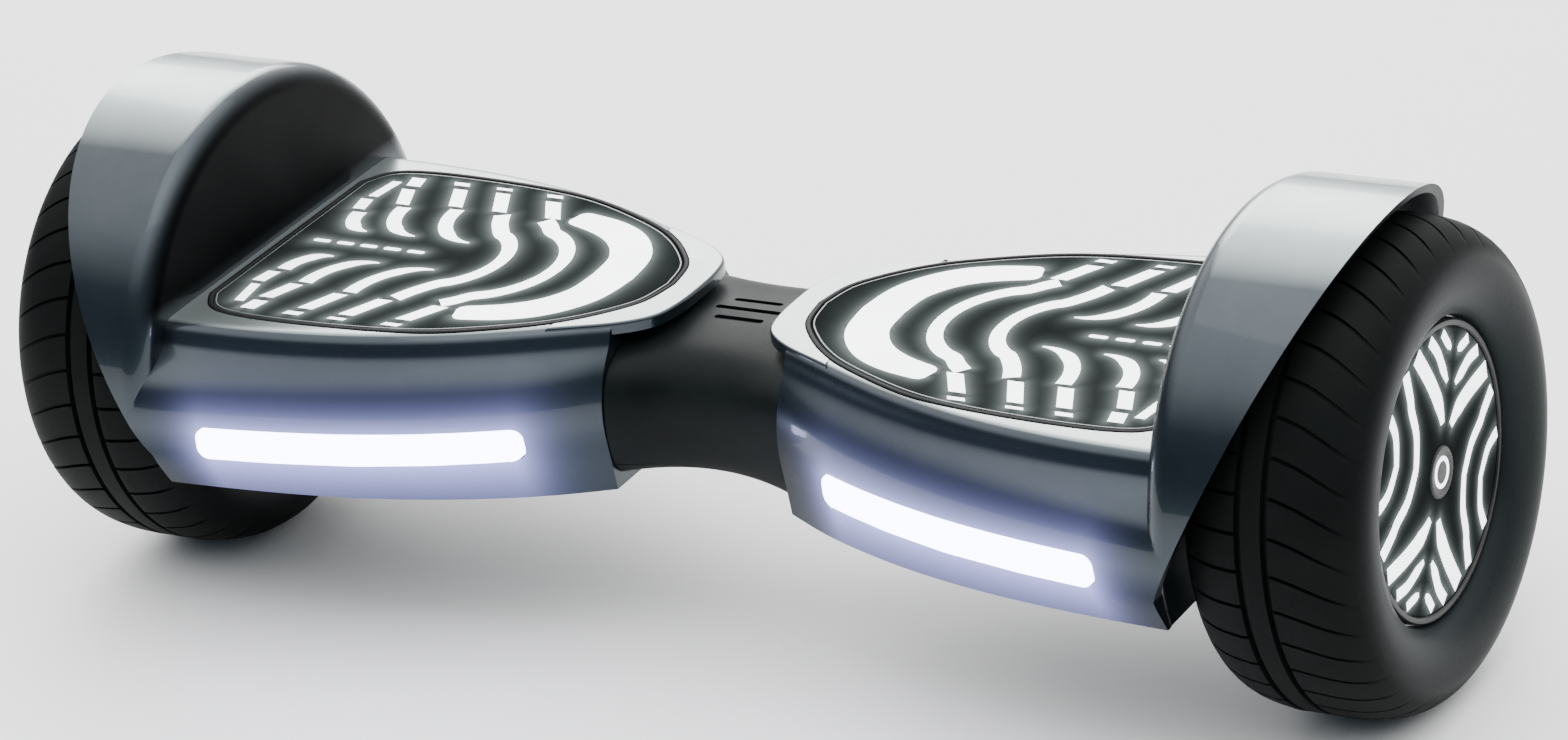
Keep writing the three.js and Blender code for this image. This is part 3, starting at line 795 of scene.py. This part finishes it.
def finishShell(piece, side):
    slope, start = shell["openSlope"], shell["openX"]
    sign = -1 if side == "left" else 1

    def onOpenEdge(a, b):
        return all(abs(sign * p.x / mm - start - slope * p.z / mm) < 0.05 for p in (a, b))

    alignNormals(piece, 0.00002)
    bevelEdges(piece, onOpenEdge, shell["edgeRound"] * mm, 3)
    smooth(piece, 32)
    applyModifier(piece, "WEIGHTED_NORMAL", keep_sharp=True, weight=60)
    finishPiece(piece, f"{side}_half", "shell_paint", f"{side}_top_shell")


rightShell = makeShellHalf()
leftShell = mirrorPiece(rightShell, "leftTopShell")
rightShell.name = rightShell.data.name = "rightTopShell"
chargerX, chargerHole = shell["charger"]
buttonX, buttonHole = shell["button"]
rearY, rearDepth = 112.5, 35
for x, radius in ((chargerX, chargerHole), (buttonX, buttonHole)):
    carve(rightShell, makeCylinder((x, rearY, axleZ), radius, rearDepth, 48, True))
finishShell(rightShell, "right")
finishShell(leftShell, "left")
print("shells made", len(rightShell.data.polygons))


def makeLampLens():
    lens = makeLampBar("lens", 0, lamp["proud"], 4, 1.2)
    smooth(lens, 50)
    return lens


rightLens = makeLampLens()
leftLens = mirrorPiece(rightLens, "leftLightLens")
rightLens.name = rightLens.data.name = "rightLightLens"
for side, piece in (("right", rightLens), ("left", leftLens)):
    finishPiece(piece, f"{side}_half", "light_lens", f"{side}_light_lens")
print("light bars made")


# The foot pads with their lit lines.
stripe = {
    "thick": 0.9,
    "proud": 0.12,
    "step": 1.2,
    # centreline of the wide inner arc on one side, and its width in the middle and at its ends
    "inner": [(70, 0), (73, 20), (84, 36), (100, 46), (122, 52.5)],
    "innerWidth": (21, 13),
    # arcs round a centre on the pad's middle line, then a kink towards the outboard side
    "arcs": [((139.6, 38.6, 66), [(129, 41), (134, 45.5)]), ((163, 32, 60), [(154, 37.5), (158, 46)])],
    "arcWidth": (7, 8),
    # hooks: quarter ellipses by start, end
    "hooks": [((157, 15), (183, 46)), ((187, 15), (210, 42)), ((213, 14), (228.5, 32))],
    "hookWidth": 7.6,
    # dashes: centre of the inner end, centre of the outer end, width
    "dashes": [((132, 48.5), (141.7, 65), 8.3), ((143.5, 69.4), (145, 72), 8.6),
               ((161.7, 49), (171, 67.5), 7.8), ((172.5, 71), (173.5, 73), 8.6),
               ((186, 49), (194, 66.5), 7.6), ((196, 70.5), (197.5, 73.5), 8.4),
               ((213, 45), (219.5, 60.5), 7.2), ((219.5, 64.5), (221.5, 73), 7.6),
               ((231.5, 35.5), (233.5, 46), 6.6), ((232.5, 49.5), (230, 67), 5.0)],
    # plain short bars down the middle
    "middle": [(172 + 13 * i, 9) for i in range(5)],
    "middleWidth": 2.6,
}


def evenly(path, step):
    points = [Vector(point) for point in path]
    length = sum((b - a).length for a, b in zip(points, points[1:]))
    count = max(2, round(length / step))
    result, travelled, k = [], 0.0, 0
    for i in range(count + 1):
        target = length * i / count
        while k < len(points) - 2 and travelled + (points[k + 1] - points[k]).length < target:
            travelled += (points[k + 1] - points[k]).length
            k += 1
        span = (points[k + 1] - points[k]).length or 1.0
        result.append(points[k].lerp(points[k + 1], min(1.0, (target - travelled) / span)))
    return result


# Two rows of points beside a path. A slanted ribbon is cut straight across the pad at its ends.
def ribbonRows(path, widthAt, slanted=False, rounded=0.0):
    points = evenly(path, stripe["step"])
    rows = []
    for i, point in enumerate(points):
        before, after = points[max(i - 1, 0)], points[min(i + 1, len(points) - 1)]
        along = (after - before).normalized()
        across = Vector((1, 0)) if slanted else Vector((along.y, -along.x))
        t = i / (len(points) - 1)
        half = widthAt(t) / 2
        if rounded:
            toEnd = min(i, len(points) - 1 - i) * stripe["step"]
            if toEnd < rounded:
                half *= 0.55 + 0.45 * math.sqrt(1 - (1 - toEnd / rounded) ** 2)
        rows.append([point - across * half, point + across * half])
    return rows


def padRibbons():
    ribbons = []

    def both(path, widthAt, slanted=False):
        rows = ribbonRows(path, widthAt, slanted)
        ribbons.append(rows)
        ribbons.append([[Vector((p.x, -p.y)) for p in row] for row in rows])

    half = spline(stripe["inner"], 10)
    middleWidth, endWidth = stripe["innerWidth"]
    whole = [(x, -y) for x, y in reversed(half[1:])] + half

    def arcWidth(t):
        return lerp(middleWidth, endWidth, abs(2 * t - 1) ** 1.5)

    ribbons.append(ribbonRows(whole, arcWidth, rounded=5))
    for (centreX, radius, sweep), kink in stripe["arcs"]:
        angles = [math.radians(sweep * i / 6) for i in range(7)]
        half = [(centreX - radius * math.cos(a), radius * math.sin(a)) for a in angles] + kink
        half = spline(half, 6)
        whole = [(x, -y) for x, y in reversed(half[1:])] + half
        low, high = stripe["arcWidth"]
        ribbons.append(ribbonRows(whole, lambda t: lerp(low, high, abs(2 * t - 1))))
    for (x0, y0), (x1, y1) in stripe["hooks"]:
        angles = [math.radians(90 * i / 16) for i in range(17)]
        path = [(x0 + (x1 - x0) * math.sin(a), y1 - (y1 - y0) * math.cos(a)) for a in angles]
        width = stripe["hookWidth"]
        both(path, lambda t: width * min(1.0, 0.12 + 2.4 * t) * lerp(0.8, 1.0, t))
    for inner, outer, width in stripe["dashes"]:
        both([inner, outer], lambda t: width, True)
    for x, length in stripe["middle"]:
        ribbons.append(ribbonRows([(x, 0), (x + length, 0)], lambda t: stripe["middleWidth"], rounded=1.2))
    return ribbons


def makeStripes(ribbons, name, place, body, slot, thick):
    pieces = []
    for i, rows in enumerate(ribbons):
        pieces.append(gridPiece(f"{name}{i}", [[place(p) for p in row] for row in rows]))
    piece = joinPieces(pieces, name)
    applyModifier(piece, "SOLIDIFY", thickness=thick * mm, offset=0.0)
    alignNormals(piece)
    smooth(piece, 40)
    finishPiece(piece, body, slot)
    return piece


# The pad's edge in even steps of 2 mm.
padEdgeFine = [tuple(p) for p in evenly(padOutline + padOutline[:1], 2.0)][:-1]


# Joins the seam of a plate made from rings, closes its back and turns its faces outwards.
def closeBack(piece):
    activate(piece)
    bpy.ops.object.mode_set(mode="EDIT")
    bpy.ops.mesh.select_all(action="SELECT")
    bpy.ops.mesh.remove_doubles(threshold=0.00001)
    bpy.ops.mesh.select_all(action="DESELECT")
    bpy.ops.mesh.select_mode(type="EDGE")
    bpy.ops.mesh.select_non_manifold()
    bpy.ops.mesh.edge_face_add()
    bpy.ops.object.mode_set(mode="OBJECT")
    alignNormals(piece)


# Writes how brightly a plate is lit at each point: strongly beside a lit line, with a haze further away.
# Near and haze are each a share and a reach, and flat lays a point out beside the lines.
def markGlow(piece, ribbons, flat, near, haze):
    edges = [point for rows in ribbons for row in rows for point in row]
    tree = KDTree(len(edges))
    for i, point in enumerate(edges):
        tree.insert((*point, 0), i)
    tree.balance()
    glow = piece.data.attributes.new("glow", "FLOAT", "POINT").data
    for vertex in piece.data.vertices:
        away = tree.find(flat(vertex.co / mm))[2]
        glow[vertex.index].value = sum(share * math.exp(-away / reach) for share, reach in (near, haze))


def makeFootPad(ribbons):
    deckZ = shell["deckZ"]
    centre = Vector((150, 0))
    edge = grown(padEdgeFine, -0.7)
    edge.append(edge[0])
    rows = []
    steps = 44
    for i in range(1, steps + 1):
        rows.append([(*centre.lerp(Vector(point), i / steps), deckZ) for point in edge])
    for inset, drop in ((0.25, 0.12), (0.0, 0.5), (0.0, 2.0)):
        ring = grown(padEdgeFine, -inset)
        ring.append(ring[0])
        rows.append([(x, y, deckZ - drop) for x, y in ring])
    piece = gridPiece("footPad", rows)
    closeBack(piece)
    markGlow(piece, ribbons, lambda p: (p.x, p.y, 0), (0.85, 2.2), (0.4, 6))
    smooth(piece, 35)
    return piece


def makeRing(name, outer, inner, low, high, rounding=0.0):
    ring = prismZ(name, outer, low, high)
    carve(ring, prismZ("ringHole", inner, low - 5, high + 5))
    if rounding:
        top = (high - 0.05) * mm
        bevelEdges(ring, lambda a, b: a.z > top and b.z > top, rounding * mm, 3)
    smooth(ring, 35)
    return ring


ribbons = padRibbons()
rightPad = makeFootPad(ribbons)
rightGasket = makeRing("gasket", grown(padEdgeFine, 2.5), grown(padEdgeFine, 0.3), 147.3, 152.4, 0.6)
# a thin light grey ring just inside the pad's edge, a painted highlight along it
rightPaintedEdgeHighlight = makeRing("padEdgeHighlight", grown(padEdgeFine, -0.9), grown(padEdgeFine, -1.45), 151.0, 152.1)
liftZ = shell["deckZ"] + stripe["proud"] - stripe["thick"] / 2
for side, sign in (("right", 1), ("left", -1)):
    padBody = f"{side}_pad"
    plate = rightPad if sign > 0 else mirrorPiece(rightPad, "leftFootPad")
    gasket = rightGasket if sign > 0 else mirrorPiece(rightGasket, "leftPadGasket")
    line = rightPaintedEdgeHighlight if sign > 0 else mirrorPiece(rightPaintedEdgeHighlight, "leftPadEdgeHighlight")
    makeStripes(ribbons, f"{side}PadStripes", lambda p: (sign * p.x, p.y, liftZ), padBody, "light_panel",
                stripe["thick"])
    finishPiece(plate, padBody, "pad_gloss", f"{side}_foot_pad")
    finishPiece(gasket, f"{side}_half", "soft_rubber", f"{side}_pad_gasket")
    finishPiece(line, padBody, "trim_plastic", finish=paintedEdgeHighlight)
rightPad.name = rightPad.data.name = "rightFootPad"
rightGasket.name = rightGasket.data.name = "rightPadGasket"
rightPaintedEdgeHighlight.name = rightPaintedEdgeHighlight.data.name = "rightPadEdgeHighlight"
print("foot pads made")


tyre = {
    "x": 301,
    "radius": 108,
    "lugs": 40,
    # one lug's columns in degrees: a sipe, its two walls and the block after it
    "columns": (0, 0.16, 0.78, 0.95, 2.9, 4.9, 6.9, 8.1),
    "sipeDepth": 2.0,
    "sipeBend": (-8.0, 1.0),
    "grooves": (2.4, -9.6),
    "grooveHalf": 1.5,
    "grooveDepth": 3.0,
    # from the bead outwards to the tread, as (x from the tyre's middle, radius)
    "shoulder": [(26, 66.3), (31.5, 66.8), (36, 69.5), (39.4, 75), (41.4, 81), (42, 87.5), (41, 92.8),
                 (38.6, 97.3), (34.6, 101.4), (29.5, 104.4), (23.5, 106.4), (17, 107.5), (11.5, 107.9)],
    "inside": [(33.5, 78), (35.5, 88), (31, 95.5), (20, 100.5)],
}


def tyreProfile():
    flankWithPaintedShade = spline(tyre["shoulder"], 2)
    across = []
    half, top = tyre["grooveHalf"], tyre["radius"]
    bottom = top - tyre["grooveDepth"]
    for middle in tyre["grooves"]:
        across += [(middle + 4.4, top), (middle + half, top - 0.1), (middle + half - 0.35, bottom),
                   (middle - half + 0.35, bottom), (middle - half, top - 0.1)]
    across.append((tyre["grooves"][1] - 4.4, top))
    inside = tyre["inside"]
    far = [(-x, r) for x, r in flankWithPaintedShade if x > 14.5]
    loop = flankWithPaintedShade[:-1] + across + far[::-1] + [(-x, r) for x, r in inside] + inside[::-1]
    return [(tyre["x"] + x, r) for x, r in loop]


# How far down a sipe runs at a place across the tread, as a share of its depth.
def sipeShare(x, r):
    if r < 95:
        return 0.0
    first, second = tyre["grooves"]
    half = tyre["grooveHalf"]
    if x > first + half - 0.1:
        t = (x - first - half) / 34
    elif x < second - half + 0.1:
        t = (second - half - x) / 25
    else:
        return 0.0
    return max(0.0, 1 - max(t, 0.0) ** 3)


def makeTyre():
    lugs, columns = tyre["lugs"], tyre["columns"]
    piece = spinProfile("tyre", tyreProfile(), lugs * len(columns))
    step = 2 * math.pi / (lugs * len(columns))
    first, second = tyre["grooves"]
    for vertex in piece.data.vertices:
        x, y, z = vertex.co / mm
        z -= axleZ
        r = math.hypot(y, z)
        index = round(math.atan2(y, z) / step)
        lug, column = divmod(index, len(columns))
        x -= tyre["x"]
        outer = r > 93 and (abs(x) > 33 or r > 103 - 3.1)
        share = sipeShare(x, r) if outer else 0.0
        outboard, inboard = tyre["sipeBend"]
        bend = outboard * (max(0.0, x - first) / 35) ** 1.6 + inboard * (max(0.0, second - x) / 28) ** 2
        angle = math.radians(360 / lugs * lug + columns[column] + bend)
        if column in (1, 2):
            r -= tyre["sipeDepth"] * share
        vertex.co = Vector((x + tyre["x"], r * math.sin(angle), axleZ + r * math.cos(angle))) * mm
    piece.data.update()
    alignNormals(piece)
    smooth(piece, 38)
    return piece


hub = {
    "x": 299,
    "face": 33.2,
    "dome": 1.6,
    "radius": 61.6,
    "lift": 0.12,
    "thick": 0.8,
    "turn": 29,
    # half of each lit line on the disc, in shares of the disc's radius, and its width
    "innerArc": ([(0.41, 0), (0.47, 0.22), (0.59, 0.38), (0.63, 0.46), (0.74, 0.62)], 0.085),
    "outerArc": ([(0.72, 0), (0.79, 0.2), (0.93, 0.33)], 0.075),
    "chevrons": [([(0.07, 0.33), (0.17, 0.46), (0.35, 0.6), (0.60, 0.75)], 0.13),
                 ([(0.07, 0.62), (0.16, 0.70), (0.27, 0.80), (0.41, 0.87)], 0.085),
                 ([(0.06, 0.85), (0.13, 0.885), (0.22, 0.94)], 0.07)],
}


def hubRibbons():
    scale = hub["radius"]
    ribbons = []
    for path, width in (hub["innerArc"], hub["outerArc"]):
        half = spline(path, 8)
        whole = [(u, -v) for u, v in reversed(half[1:])] + half
        for sign in (1, -1):
            line = [(sign * u * scale, v * scale) for u, v in whole]
            ribbons.append(ribbonRows(line, lambda t: width * scale * (0.85 + 0.3 * abs(2 * t - 1))))
    for path, width in hub["chevrons"]:
        half = spline(path, 8)
        for flipU in (1, -1):
            for flipV in (1, -1):
                line = [(flipU * u * scale, flipV * v * scale) for u, v in half]
                ribbons.append(ribbonRows(line, lambda t: width * scale * min(1.0, 0.45 + 2.2 * t)))
    turn = Matrix.Rotation(-math.radians(hub["turn"]), 2)
    return [[[turn @ point for point in row] for row in rows] for rows in ribbons]


def hubFace(y, z, lift=0.0):
    share = math.hypot(y, z) / hub["radius"]
    return hub["x"] + hub["face"] + hub["dome"] * (1 - share * share) + lift


def makeHubDisc(ribbons):
    around, rings = 150, 26
    turns = [2 * math.pi * k / around for k in range(around + 1)]
    rows = []
    for i in range(1, rings + 1):
        r = (hub["radius"] - 0.5) * i / rings
        flat = [(r * math.sin(a), r * math.cos(a)) for a in turns]
        rows.append([(hubFace(y, z), y, axleZ + z) for y, z in flat])
    r = hub["radius"]
    for x in (hub["x"] + hub["face"] - 0.5, hub["x"] + 30.5):
        rows.append([(x, r * math.sin(a), axleZ + r * math.cos(a)) for a in turns])
    piece = gridPiece("hubDisc", rows)
    closeBack(piece)
    markGlow(piece, ribbons, lambda p: (p.y, p.z - axleZ, 0), (0.8, 1.6), (0.2, 4))
    smooth(piece, 35)
    return piece


# A small turned part of the hub, from (x, radius) points with x counted from the given place.
def makeHubRing(name, x, loop, steps):
    piece = spinProfile(name, [(x + dx, radius) for dx, radius in loop], steps)
    smooth(piece, 35)
    return piece


def makeBezel():
    loop = [(29.3, 62), (33.3, 62), (34.0, 62.5), (34.2, 63.4), (34.0, 64.6), (33.0, 65.5), (29.3, 65.6)]
    return makeHubRing("bezel", hub["x"], loop, 144)


hubTop = hub["x"] + hub["face"] + hub["dome"]


def makeCentreCap():
    loop = [(-1, 0), (-1, 11.5), (0.2, 11.5), (0.7, 11.0), (0.9, 10), (0.5, 8.8), (0.5, 3), (0.7, 0)]
    return makeHubRing("centreCap", hubTop, loop, 64)


def makeCentreLight():
    return makeHubRing("centreLight", hubTop + 0.5, [(-0.4, 5), (-0.4, 7), (0.15, 7), (0.15, 5)], 64)


lines = hubRibbons()
wheelPieces = (
    (makeTyre(), "Tyre", "tyre_rubber", "tyre"),
    (makeHubDisc(lines), "HubCap", "pad_gloss", "hub_cap"),
    (makeBezel(), "HubBezel", "trim_plastic", "hub_bezel"),
    (makeCentreCap(), "CentreCap", "trim_plastic", None),
    (makeCentreLight(), "CentreLight", "light_panel", None),
)
for piece, name, slot, node in wheelPieces:
    left = mirrorPiece(piece, f"left{name}")
    piece.name = piece.data.name = f"right{name}"
    for side, one in (("right", piece), ("left", left)):
        replaced = [f"{side}_{node}"] if node else []
        finishPiece(one, f"{side}_wheel", slot, *replaced)
lineLift = hub["lift"] - hub["thick"] / 2
for side, sign in (("right", 1), ("left", -1)):
    makeStripes(lines, f"{side}HubLines", lambda p: (sign * hubFace(p.x, p.y, lineLift), p.x, axleZ + p.y),
                f"{side}_wheel", "light_panel", hub["thick"])
print("wheels made")


waist = {
    "reach": (-44.7, 44.2),
    "middleHalf": 52,
    "flare": 8,
    "crown": 144,
    "crownDrop": 0.0035,
    "bottom": 80,
    "arch": 3.5,
    "split": 88,
    "skin": 2.6,
    "gap": 0.3,
    "slotY": (-9, 0, 9),
    "slotLength": 34,
    "slotWidth": 3.2,
    "slotZ": (142.2, 150),
}


def waistSection(x, inset=0.0):
    share = (x / 45) ** 2
    w = waist["middleHalf"] + waist["flare"] * share - inset
    bottom = waist["bottom"] + waist["arch"] * (1 - share) + inset
    half = [(0, bottom), (w - 14, bottom), (w - 4.5, bottom + 2.5), (w - 0.6, 96), (w + 0.4, 108)]
    half += [(w - 1.2, 122), (w - 6.5, 132 - inset)]
    half += [(y, waist["crown"] - inset - waist["crownDrop"] * y * y) for y in (w - 15, w - 26, 13, 0)]
    return [(-y, z) for y, z in half] + [(y, z) for y, z in reversed(half[1:-1])]


def makeWaist():
    low, high = waist["reach"]
    xs = [lerp(low, high, i / 8) for i in range(9)]
    rings = [[(x, y, z) for y, z in waistSection(x)] for x in xs]
    body = skinRings("waist", rings)

    def isEnd(a, b):
        return any(abs(a.x - end) < 0.1 and abs(b.x - end) < 0.1 for end in (low, high))

    creaseEdges(body, isEnd)
    applyModifier(body, "SUBSURF", levels=2, render_levels=2)
    skin = waist["skin"]
    hollow = [[(x * 1.05, y, z) for y, z in waistSection(x, skin)] for x in xs]
    return body, skinRings("waistHollow", hollow)


def splitWaist(body, hollow, name, keepUpper):
    piece = copyPiece(body, name)
    half = waist["gap"] / 2
    low, high = (60, waist["split"] + half) if keepUpper else (waist["split"] - half, 170)
    outline = [(-60, -80), (60, -80), (60, 80), (-60, 80)]
    carve(piece, prismZ("waistCut", outline, low, high))
    carve(piece, copyPiece(hollow, "waistHollowCopy"))
    return piece


def slotTool(x, y, length, width, low, high):
    half, end = width / 2, length / 2 - width / 2
    outline = []
    for i in range(17):
        a = math.pi * (i / 16 - 0.5)
        outline.append((x + end + half * math.cos(a), y + half * math.sin(a)))
    for i in range(17):
        a = math.pi * (i / 16 + 0.5)
        outline.append((x - end + half * math.cos(a), y + half * math.sin(a)))
    return prismZ("slot", outline, low, high)


waistBody, waistHollow = makeWaist()
upper = splitWaist(waistBody, waistHollow, "waistCoverUpper", True)
lower = splitWaist(waistBody, waistHollow, "waistCoverLower", False)
bpy.data.objects.remove(waistBody)
bpy.data.objects.remove(waistHollow)
for y in waist["slotY"]:
    length = waist["slotLength"] - abs(y)
    carve(upper, slotTool(0, y, length, waist["slotWidth"], *waist["slotZ"]))
for piece, node in ((upper, "waist_cover_upper"), (lower, "waist_cover_lower")):
    smooth(piece, 32)
    finishPiece(piece, "left_half", "waist_plastic", node)
print("waist made")


# The charge socket with its cap, and the power button, at the rear of the right half.
rear = {
    "steps": 64,
    "face": 114.2,
    "capLow": 114.5,
    "capHigh": 117.2,
    "socketBack": 98.2,
    "bore": 6.5,
    "flange": 12,
    "pinRadius": 0.9,
    "pinOff": 3.2,
    "pinY": (101, 110.5),
    "tab": ((219, 225), (117.0, 118.8), (114.5, 119)),
    "buttonBack": 106.2,
    "buttonRadius": 7,
}


# A profile of (y, radius) points turned about a line along Y at the axle's height.
def spinRear(name, profile, x):
    points = [(x, y, axleZ + radius) for y, radius in profile]
    return turnOutline(name, points, rear["steps"], (x, 0, axleZ), (0, 1, 0))


def makeSocket():
    face, back, bore, flange = rear["face"], rear["socketBack"], rear["bore"], rear["flange"]
    profile = [(back, 0), (back, 9), (face - 3, 9), (face - 3, flange - 0.4), (face - 2.6, flange),
               (face - 0.4, flange), (face, flange - 0.4), (face, bore + 1.6), (face - 0.5, bore + 1.2),
               (face - 0.7, bore + 0.4), (face - 1.1, bore), (back + 3, bore), (back + 3, 0)]
    socket = spinRear("rightChargeSocket", profile, chargerX)
    pins = []
    low, high = rear["pinY"]
    for k in range(3):
        angle = math.radians(90 + 120 * k)
        middle = (chargerX, (low + high) / 2, axleZ)
        pin = makeCylinder(middle, rear["pinRadius"], high - low, 48, True)
        tip = (high - 0.1) * mm
        bevelEdges(pin, lambda a, b: a.y > tip and b.y > tip, 0.35 * mm, 2)
        shift = Vector((math.cos(angle), 0, math.sin(angle))) * rear["pinOff"] * mm
        pin.data.transform(Matrix.Translation(shift))
        pins.append(pin)
    return joinPieces([socket, *pins], "rightChargeSocket")


def makeCap():
    low, high, radius = rear["capLow"], rear["capHigh"], rear["flange"]
    profile = [(low, 0), (low, radius - 0.6), (low + 0.4, radius), (high - 0.9, radius),
               (high - 0.3, radius - 0.5), (high, radius - 1.4), (high + 0.25, radius - 4), (high + 0.4, 0)]
    cap = spinRear("rightChargeCap", profile, chargerX)
    (x0, x1), (y0, y1), (z0, z1) = rear["tab"]
    tab = prismY("tab", [(x0, z0), (x1, z0), (x1, z1), (x0, z1)], y0, y1)
    bevelEdges(tab, lambda a, b: a.y > (y1 - 0.1) * mm or b.y > (y1 - 0.1) * mm, 0.6 * mm, 3)
    carve(cap, tab, "UNION")
    return cap


def makeButton():
    face, back, radius = rear["face"], rear["buttonBack"], rear["buttonRadius"]
    profile = [(back, 0), (back, radius), (face - 0.6, radius), (face - 0.15, radius - 0.25),
               (face, radius - 0.7), (face, radius - 2.2), (face - 0.35, radius - 2.6),
               (face - 0.35, radius - 3.4), (face - 0.1, radius - 3.8), (face, 0)]
    return spinRear("rightPowerButton", profile, buttonX)


for piece, body, slot, node in (
    (makeSocket(), "right_half", "trim_plastic", "right_charge_socket"),
    (makeCap(), "charge_cap", "soft_rubber", "right_charge_cap"),
    (makeButton(), "power_button", "trim_plastic", "right_power_button"),
):
    smooth(piece, 35)
    finishPiece(piece, body, slot, node)
print("rear controls made")


# The covers underneath, with vents and screws.
cover = {
    "z": (76, 80),
    "gap": 0.3,
    "edge": 0.8,
    # x and half depth of each pair of screws
    "screws": ((72, 52), (140, 78), (228, 88)),
    "screwRadius": 2.8,
    "screwLength": 2.2,
    "screwRound": 0.5,
    # half the length and width of a bar of the cross, and how deep it goes
    "cross": (1.7, 0.35),
    "crossTop": 1.6,
    # radius and depth of the round sink for a screw
    "sink": (3.4, 3),
    # x and length of each vent
    "vents": [(118 + 9 * i, 26) for i in range(7)],
    "ventWidth": 3.0,
    "ventY": 26,
    "panel": ((96, 212), 52),
}


def makeScrew(x, y):
    z = cover["z"][0]
    head = makeCylinder((x, y, z + 1.7), cover["screwRadius"], cover["screwLength"], 32)
    under = (z + 0.7) * mm
    bevelEdges(head, lambda a, b: a.z < under and b.z < under, cover["screwRound"] * mm, 3)
    long, short = cover["cross"]
    for half, other in ((long, short), (short, long)):
        outline = [(x + sx * half, y + sy * other) for sx, sy in ((-1, -1), (1, -1), (1, 1), (-1, 1))]
        carve(head, prismZ("cross", outline, z - 1, z + cover["crossTop"]))
    return head


def makeCover():
    inset = shell["skin"] + cover["gap"]
    stations = shell["stations"]
    low, high = cover["z"]
    edge = [(stations[0][0] + inset, stations[0][1] - inset)]
    edge += [(x, bottom - inset) for x, bottom, _ in stations[1:-1]]
    edge.append((stations[-1][0] - cover["gap"], stations[-1][1] - inset))
    edge = spline(edge, 4)
    outline = edge + [(x, -y) for x, y in reversed(edge)]
    plate = prismZ("rightBottomCover", outline, low, high)
    under = (low + 0.1) * mm
    bevelEdges(plate, lambda a, b: a.z < under and b.z < under, cover["edge"] * mm, 3)
    (x0, x1), half = cover["panel"]
    groove = prismZ("panelOut", [(x0, -half), (x1, -half), (x1, half), (x0, half)], low - 1, low + 0.6)
    inner = [(x0 + 1, 1 - half), (x1 - 1, 1 - half), (x1 - 1, half - 1), (x0 + 1, half - 1)]
    carve(groove, prismZ("panelIn", inner, low - 2, low + 2))
    carve(plate, groove)
    for x, length in cover["vents"]:
        for side in (-1, 1):
            tool = slotTool(0, 0, length, cover["ventWidth"], low - 1, high + 1)
            tool.data.transform(Matrix.Rotation(math.pi / 2, 4, "Z"))
            tool.data.transform(Matrix.Translation(Vector((x, side * cover["ventY"], 0)) * mm))
            carve(plate, tool)
    screws = []
    for x, y in cover["screws"]:
        for side in (-1, 1):
            carve(plate, makeCylinder((x, side * y, low + 0.9), *cover["sink"], 32))
            screws.append(makeScrew(x, side * y))
    heads = joinPieces(screws, "rightCoverScrews")
    return plate, heads


plate, heads = makeCover()
for side in ("right", "left"):
    onePlate = plate if side == "right" else mirrorPiece(plate, "leftBottomCover")
    oneHeads = heads if side == "right" else mirrorPiece(heads, "leftCoverScrews")
    for piece in (onePlate, oneHeads):
        smooth(piece, 32)
    finishPiece(onePlate, f"{side}_half", "cover_plastic", f"{side}_bottom_cover")
    finishPiece(oneHeads, f"{side}_half", "steel")
print("bottom covers made")


def makeStage():
    bpy.ops.mesh.primitive_plane_add(size=9, location=(0, 0, 0))
    floor = bpy.context.object
    floor.name = "floor"
    material, tree, shader = newMaterial("paleFloor", {"Roughness": 0.6, "Specular IOR Level": 0.2})
    noise = addNode(tree, "ShaderNodeTexNoise", {}, {"Vector": objectPoint(tree), "Scale": 3.0}).outputs[0]
    white = mixColour(tree, noise, (0.93, 0.93, 0.93, 1), (0.94, 0.94, 0.94, 1))
    tree.links.new(white, shader["Base Color"])
    floor.data.materials.append(material)


light = {
    "sky": 2.8,
    "horizon": (0.055, 0.074, 0.088, 1),
    # how bright the sky grows with height, from the horizon's colour to white
    "rise": (0.24, 0.58),
    "tilt": 0.3,
    # place, size and power of each soft box
    "softboxes": (((0.3, 0.1, 2.0), 2.4, 30.0), ((-1.3, 2.0, 1.5), 1.6, 40.0)),
}


def makeLights():
    world = bpy.data.worlds.new("studio")
    bpy.context.scene.world = world
    world.use_nodes = True
    tree = world.node_tree
    tree.nodes.clear()
    direction = addNode(tree, "ShaderNodeTexCoord").outputs["Generated"]
    split = addNode(tree, "ShaderNodeSeparateXYZ", {}, {0: direction}).outputs
    tilted = mathNode(tree, "ADD", split["Z"], mathNode(tree, "MULTIPLY", split["Y"], light["tilt"]))
    rise = ramp(tree, tilted, *light["rise"])
    colour = mixColour(tree, rise, light["horizon"], (1.0, 1.0, 1.0, 1))
    inputs = {"Color": colour, "Strength": light["sky"]}
    shade = addNode(tree, "ShaderNodeBackground", {}, inputs).outputs[0]
    output = tree.nodes.new("ShaderNodeOutputWorld")
    tree.links.new(shade, output.inputs["Surface"])
    for place, size, power in light["softboxes"]:
        bpy.ops.object.light_add(type="AREA", location=place)
        softbox = bpy.context.object
        softbox.data.energy = power
        softbox.data.size = size
        softbox.rotation_euler = Vector(place).to_track_quat("Z", "Y").to_euler()


makeStage()
makeLights()
print("stage and lights made")
